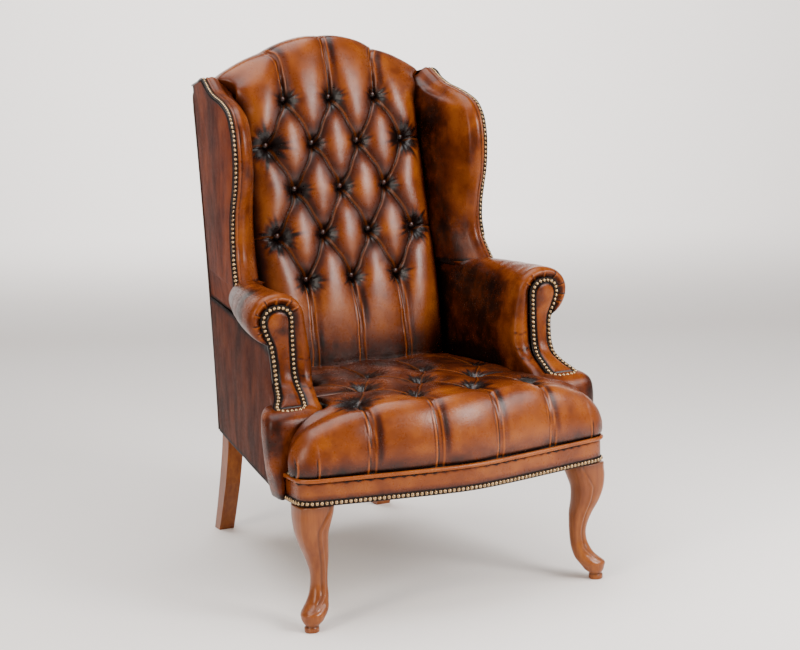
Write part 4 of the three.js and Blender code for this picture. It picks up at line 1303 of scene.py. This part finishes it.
def outside_back():
    rows, cols = 150, 90
    v = np.linspace(0, 1, rows)[:, None]
    u = np.linspace(-1, 1, cols)[None, :]
    top = crest_z(u * 229) - 42
    z = lerp(PANEL_FOOT_Z, top, v)
    x = u * (rear_x(z) - 1.5)
    y = rear_y(z) + 1 + 7 * (1 - u**4) * np.sin(PI * unit(v)) ** 0.5
    grid = np.stack([x, y, z], axis=2)
    grid[..., 1] += 0.8 * noise(grid, 80, 17)
    rim = np.minimum((1 - np.abs(u)) * 225, np.minimum(z - PANEL_FOOT_Z, top - z))
    dark = 0.7 * smooth((10 - rim) / 10)
    made = closed_sheet("back_panel", grid, (0, -8, 0), PANEL_HIDE, {"dark": dark})
    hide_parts("outside_back")
    left = [(rear_x(z) - 0.5, rear_y(z) + 1.5, z) for z in np.linspace(242, 930, 40)]
    arch = [(x, rear_y(REAR_TOP_Z) + 1.5, crest_z(x) - 41) for x in np.linspace(232, -232, 30)]
    path = spline(left + arch + [(-x, y, z) for x, y, z in left[::-1]], 420)
    welt("back_piping", path, (0, 1, 0), 5.0, 10, dark=0.45)


# ------ seat front: welts, border, nails
def front_line(set_back, z, count):
    bow = [(x, bow_y(x, set_back), z) for x in np.linspace(-288, 288, 25)]
    end = [(309 - set_back * 0.3, -360 + set_back, z), (322 - set_back * 0.8, -345 + set_back * 0.4, z),
           (325.5 - set_back, -322, z), (325.5 - set_back, -280, z)]
    return spline([(-x, y, h) for x, y, h in end[::-1]] + bow + end, count)


def seat_front():
    up = (0.0, 0.0, 1.0)
    path = front_line(7.5, (BORDER_BOTTOM + BORDER_TOP) / 2, 300)
    section = rounded(45, 8.5, 5, 44)
    run = np.linspace(0, run_along(path)[-1], len(path))[:, None]
    height = section[:, 0][None, :]
    # Painted shadow lies along the top of the border under the welt, in a ragged scalloped band; lower down
    # the border darkens towards the nails.
    shade_scallop = 3.0 * np.abs(np.sin(PI * run / 21 + 0.6 * np.sin(run / 47)))
    deep = unit(0.75 + 0.5 * np.sin(run / 31 + 1.3 * np.sin(run / 83)))
    dark = unit(0.95 * deep * smooth((height - (15.5 + shade_scallop)) / 3.0) + 0.6 * smooth((-2 - height) / 12))
    made = sweep("seat_border", path, *frame_along(path, up), section, HIDE, "leather", {"dark": dark})
    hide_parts("front_border")
    cord = welt("seat_welt_cord", front_line(0.6, WELT_Z + 0.2, 320), up, 8.0, 16, dark=0.04, rub=0.35)
    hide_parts("seat_welt")
    low = front_line(3.2, BORDER_BOTTOM + 6.0, 300)
    sweep("seat_gimp", low, *frame_along(low, up), rounded(11.5, 3.4, 4, 14), GIMP, "brass_nails")
    places = stations(front_line(1.6, BORDER_BOTTOM + 6.2, 900), NAIL_PITCH)
    tangent = np.gradient(places, axis=0)
    outward = np.stack([tangent[:, 1], -tangent[:, 0], np.zeros(len(places))], axis=1)
    heads = studs("seat_nails", places, outward, FRONT_NAIL, seed=21)
    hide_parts("front_nail_strip")


# ------ show wood and frame
FOOT_CENTRE = (306, -343)


def front_leg():
    # Height, how far the centre stands inward and back from the foot, half width, roundness.
    levels = [(0, 0, 0, 12.5, 1), (1.5, 0, 0, 13.6, 1), (9, 0, 0, 13.8, 1), (11.5, 1, 0, 12.2, 1),
              (15, 1.5, 0.5, 15, 1), (20, 3, 1.5, 19.4, 1), (27, 4.5, 2.8, 22.6, 1), (34, 7.5, 5, 24.6, 0.95),
              (43, 14, 9.5, 23.4, 0.92), (52, 19, 14, 20.6, 0.88), (64, 23.5, 17.5, 18.3, 0.84),
              (78, 26, 21, 16.4, 0.8), (95, 27, 22, 16, 0.78), (112, 26, 21, 17.5, 0.72),
              (135, 22, 18, 21.5, 0.64), (160, 15, 13, 25.6, 0.52), (185, 11, 11, 29, 0.42),
              (208, 13, 12, 33, 0.34), (225, 16, 14, 35, 0.3), (236.4, 17, 14, 35.5, 0.3)]
    table = spline(levels, 150)
    sides = 96
    turn = 2 * PI * np.arange(sides) / sides + PI / 4
    c, s = np.cos(turn), np.sin(turn)
    rings, dark = [], []
    for z, inward, back, half, roundness in table:
        square = half / np.maximum(np.abs(c), np.abs(s)) ** 0.9
        reach = lerp(np.minimum(square, half * 1.22), half, roundness)
        toe = bell(z - 36, 6.5)
        reach = reach + 3.4 * toe * np.maximum(0, np.cos(turn - math.radians(318))) ** 4
        # The bead runs down the front of the leg from its ear and round to the toe.
        bead = math.radians(np.interp(z, [36, 44, 64, 190, 222, 237], [306, 285, 258, 257, 236, 230]))
        off = half * ((turn - bead + PI) % (2 * PI) - PI)
        strength = float(smooth((z - 34) / 12))
        reach = reach + strength * (1.9 * bell(off, 2.4) - 1.5 * bell(off - 5.0, 2.2))
        x, y = FOOT_CENTRE[0] - inward, FOOT_CENTRE[1] + back
        rings.append(np.stack([x + reach * c, y + reach * s, np.full(sides, z)], axis=1))
        # The leg darkens at the neck above its pad and in the groove beside the bead; towards its top, under
        # the seat's border, the darkening is painted shade.
        rim = 0.75 * bell(z - 11.5, 2.0) + 0.35 * float(smooth((z - 222) / 14))
        dark.append(rim + 0.5 * strength * bell(off - 5.0, 1.8))
    made = loft("left_cabriole_leg", rings, LEG_WOOD, {"dark": np.array(dark)})
    stand_for(made, ["left_front_leg", "right_front_leg"])


def dress_frame():
    """Bare wood, wire, webbing and dust cloth keep their CAD shapes and take their materials."""
    dress = {"leg_wood": LEG_WOOD, "frame_wood": BEECH, "spring_steel": STEEL, "webbing": WEBBING,
             "cambric": CAMBRIC}
    for entry in frame["record"]["subparts"]:
        finish = dress.get(entry["material_slot"])
        if finish is None:
            continue
        node = frame["nodes"][entry["node"]]
        node.data.materials.clear()
        node.data.materials.append(finish)
        if entry["material_slot"] in ("leg_wood", "frame_wood"):
            bevel = node.modifiers.new("eased_edges", "BEVEL")
            bevel.width = 1.6 * MM
            bevel.segments = 2
            bevel.limit_method = "ANGLE"
            bevel.angle_limit = math.radians(40)


# ------ studio
def plain_material(name, colour, roughness):
    s = Shader(name)
    s.set(Base_Color=s.mix(s.noise(0.8, 2.0), colour, tuple(c * 0.97 for c in colour)), Roughness=roughness)
    return s.material


def camera():
    data = bpy.data.cameras.new("camera")
    data.sensor_width = 36.0
    data.lens = 82.76
    data.clip_end = 200.0
    made = bpy.data.objects.new("camera", data)
    bpy.context.collection.objects.link(made)
    azimuth, elevation, roll = math.radians(-26.08), math.radians(9.653), math.radians(-1.778)
    turn = Euler((PI / 2 - elevation, 0.0, azimuth)).to_matrix() @ Euler((0, 0, roll)).to_matrix()
    made.rotation_euler = turn.to_euler()
    made.location = (-1.56584, -3.32290, 1.11413)
    bpy.context.scene.camera = made


def softbox(name, place, target, width, height, power, colour=(1, 1, 1)):
    data = bpy.data.lights.new(name, "AREA")
    data.shape = "RECTANGLE"
    data.size, data.size_y = width, height
    data.energy = power
    data.color = colour
    made = bpy.data.objects.new(name, data)
    made.location = place
    made.rotation_euler = (Vector(target) - Vector(place)).to_track_quat("-Z", "Y").to_euler()
    bpy.context.collection.objects.link(made)


def studio():
    """A pale bowl: a flat floor that curves up all round, far outside every camera."""
    flat, curve = 6.5, 2.5
    profile = [(0.0, 0.0), (3.0, 0.0), (flat, 0.0)]
    for t in np.linspace(0, PI / 2, 12)[1:]:
        profile.append((flat + curve * math.sin(t), curve - curve * math.cos(t)))
    profile.append((flat + curve, 4.5))
    around = 96
    vertices = [(0.0, 0.0, 0.0)]
    for radius, height in profile[1:]:
        for k in range(around):
            turn = 2 * PI * k / around
            vertices.append((radius * math.cos(turn), radius * math.sin(turn), height))
    faces = [(0, 1 + k, 1 + (k + 1) % around) for k in range(around)]
    for a, b, c, d in (grid_faces(len(profile) - 1, around, around=True) + 1).tolist():
        faces.append((a, d, c, b))
    mesh = bpy.data.meshes.new("studio_floor")
    mesh.from_pydata(vertices, [], faces)
    mesh.polygons.foreach_set("use_smooth", np.ones(len(faces), dtype=bool))
    mesh.materials.append(plain_material("paper", (0.92, 0.875, 0.845), 0.85))
    floor = bpy.data.objects.new("studio_floor", mesh)
    bpy.context.collection.objects.link(floor)
    world = bpy.data.worlds.new("studio")
    world.use_nodes = True
    glow = world.node_tree.nodes["Background"].inputs
    glow["Color"].default_value = (0.80, 0.78, 0.77, 1)
    glow["Strength"].default_value = 0.28
    bpy.context.scene.world = world
    softbox("front_right", (1.5, -3.1, 2.15), (0, 0, 0.75), 1.3, 1.4, 150, (1.0, 0.97, 0.94))
    softbox("left", (-2.7, -1.3, 1.7), (0, 0, 0.6), 0.8, 1.9, 55, (1.0, 0.92, 0.82))
    softbox("overhead", (-0.4, 0.2, 3.7), (0, 0.1, 0.3), 3.4, 2.8, 178)
    softbox("ground", (1.3, -1.15, 1.3), (1.25, -1.2, 0), 1.0, 1.0, 26)
    softbox("backdrop", (2.0, 4.6, 3.6), (3.9, 8.2, 1.0), 3.0, 1.6, 420)


# ------ assembly
back_rows = back_piece()
seat_rows = seat_piece()
all_buttons(back_rows, seat_rows)
arm_pieces()
facing_pieces()
foot_bolster()
wing_pieces()
outside_wing()
outside_arm()
outside_back()
seat_front()
front_leg()
dress_frame()
camera()
studio()
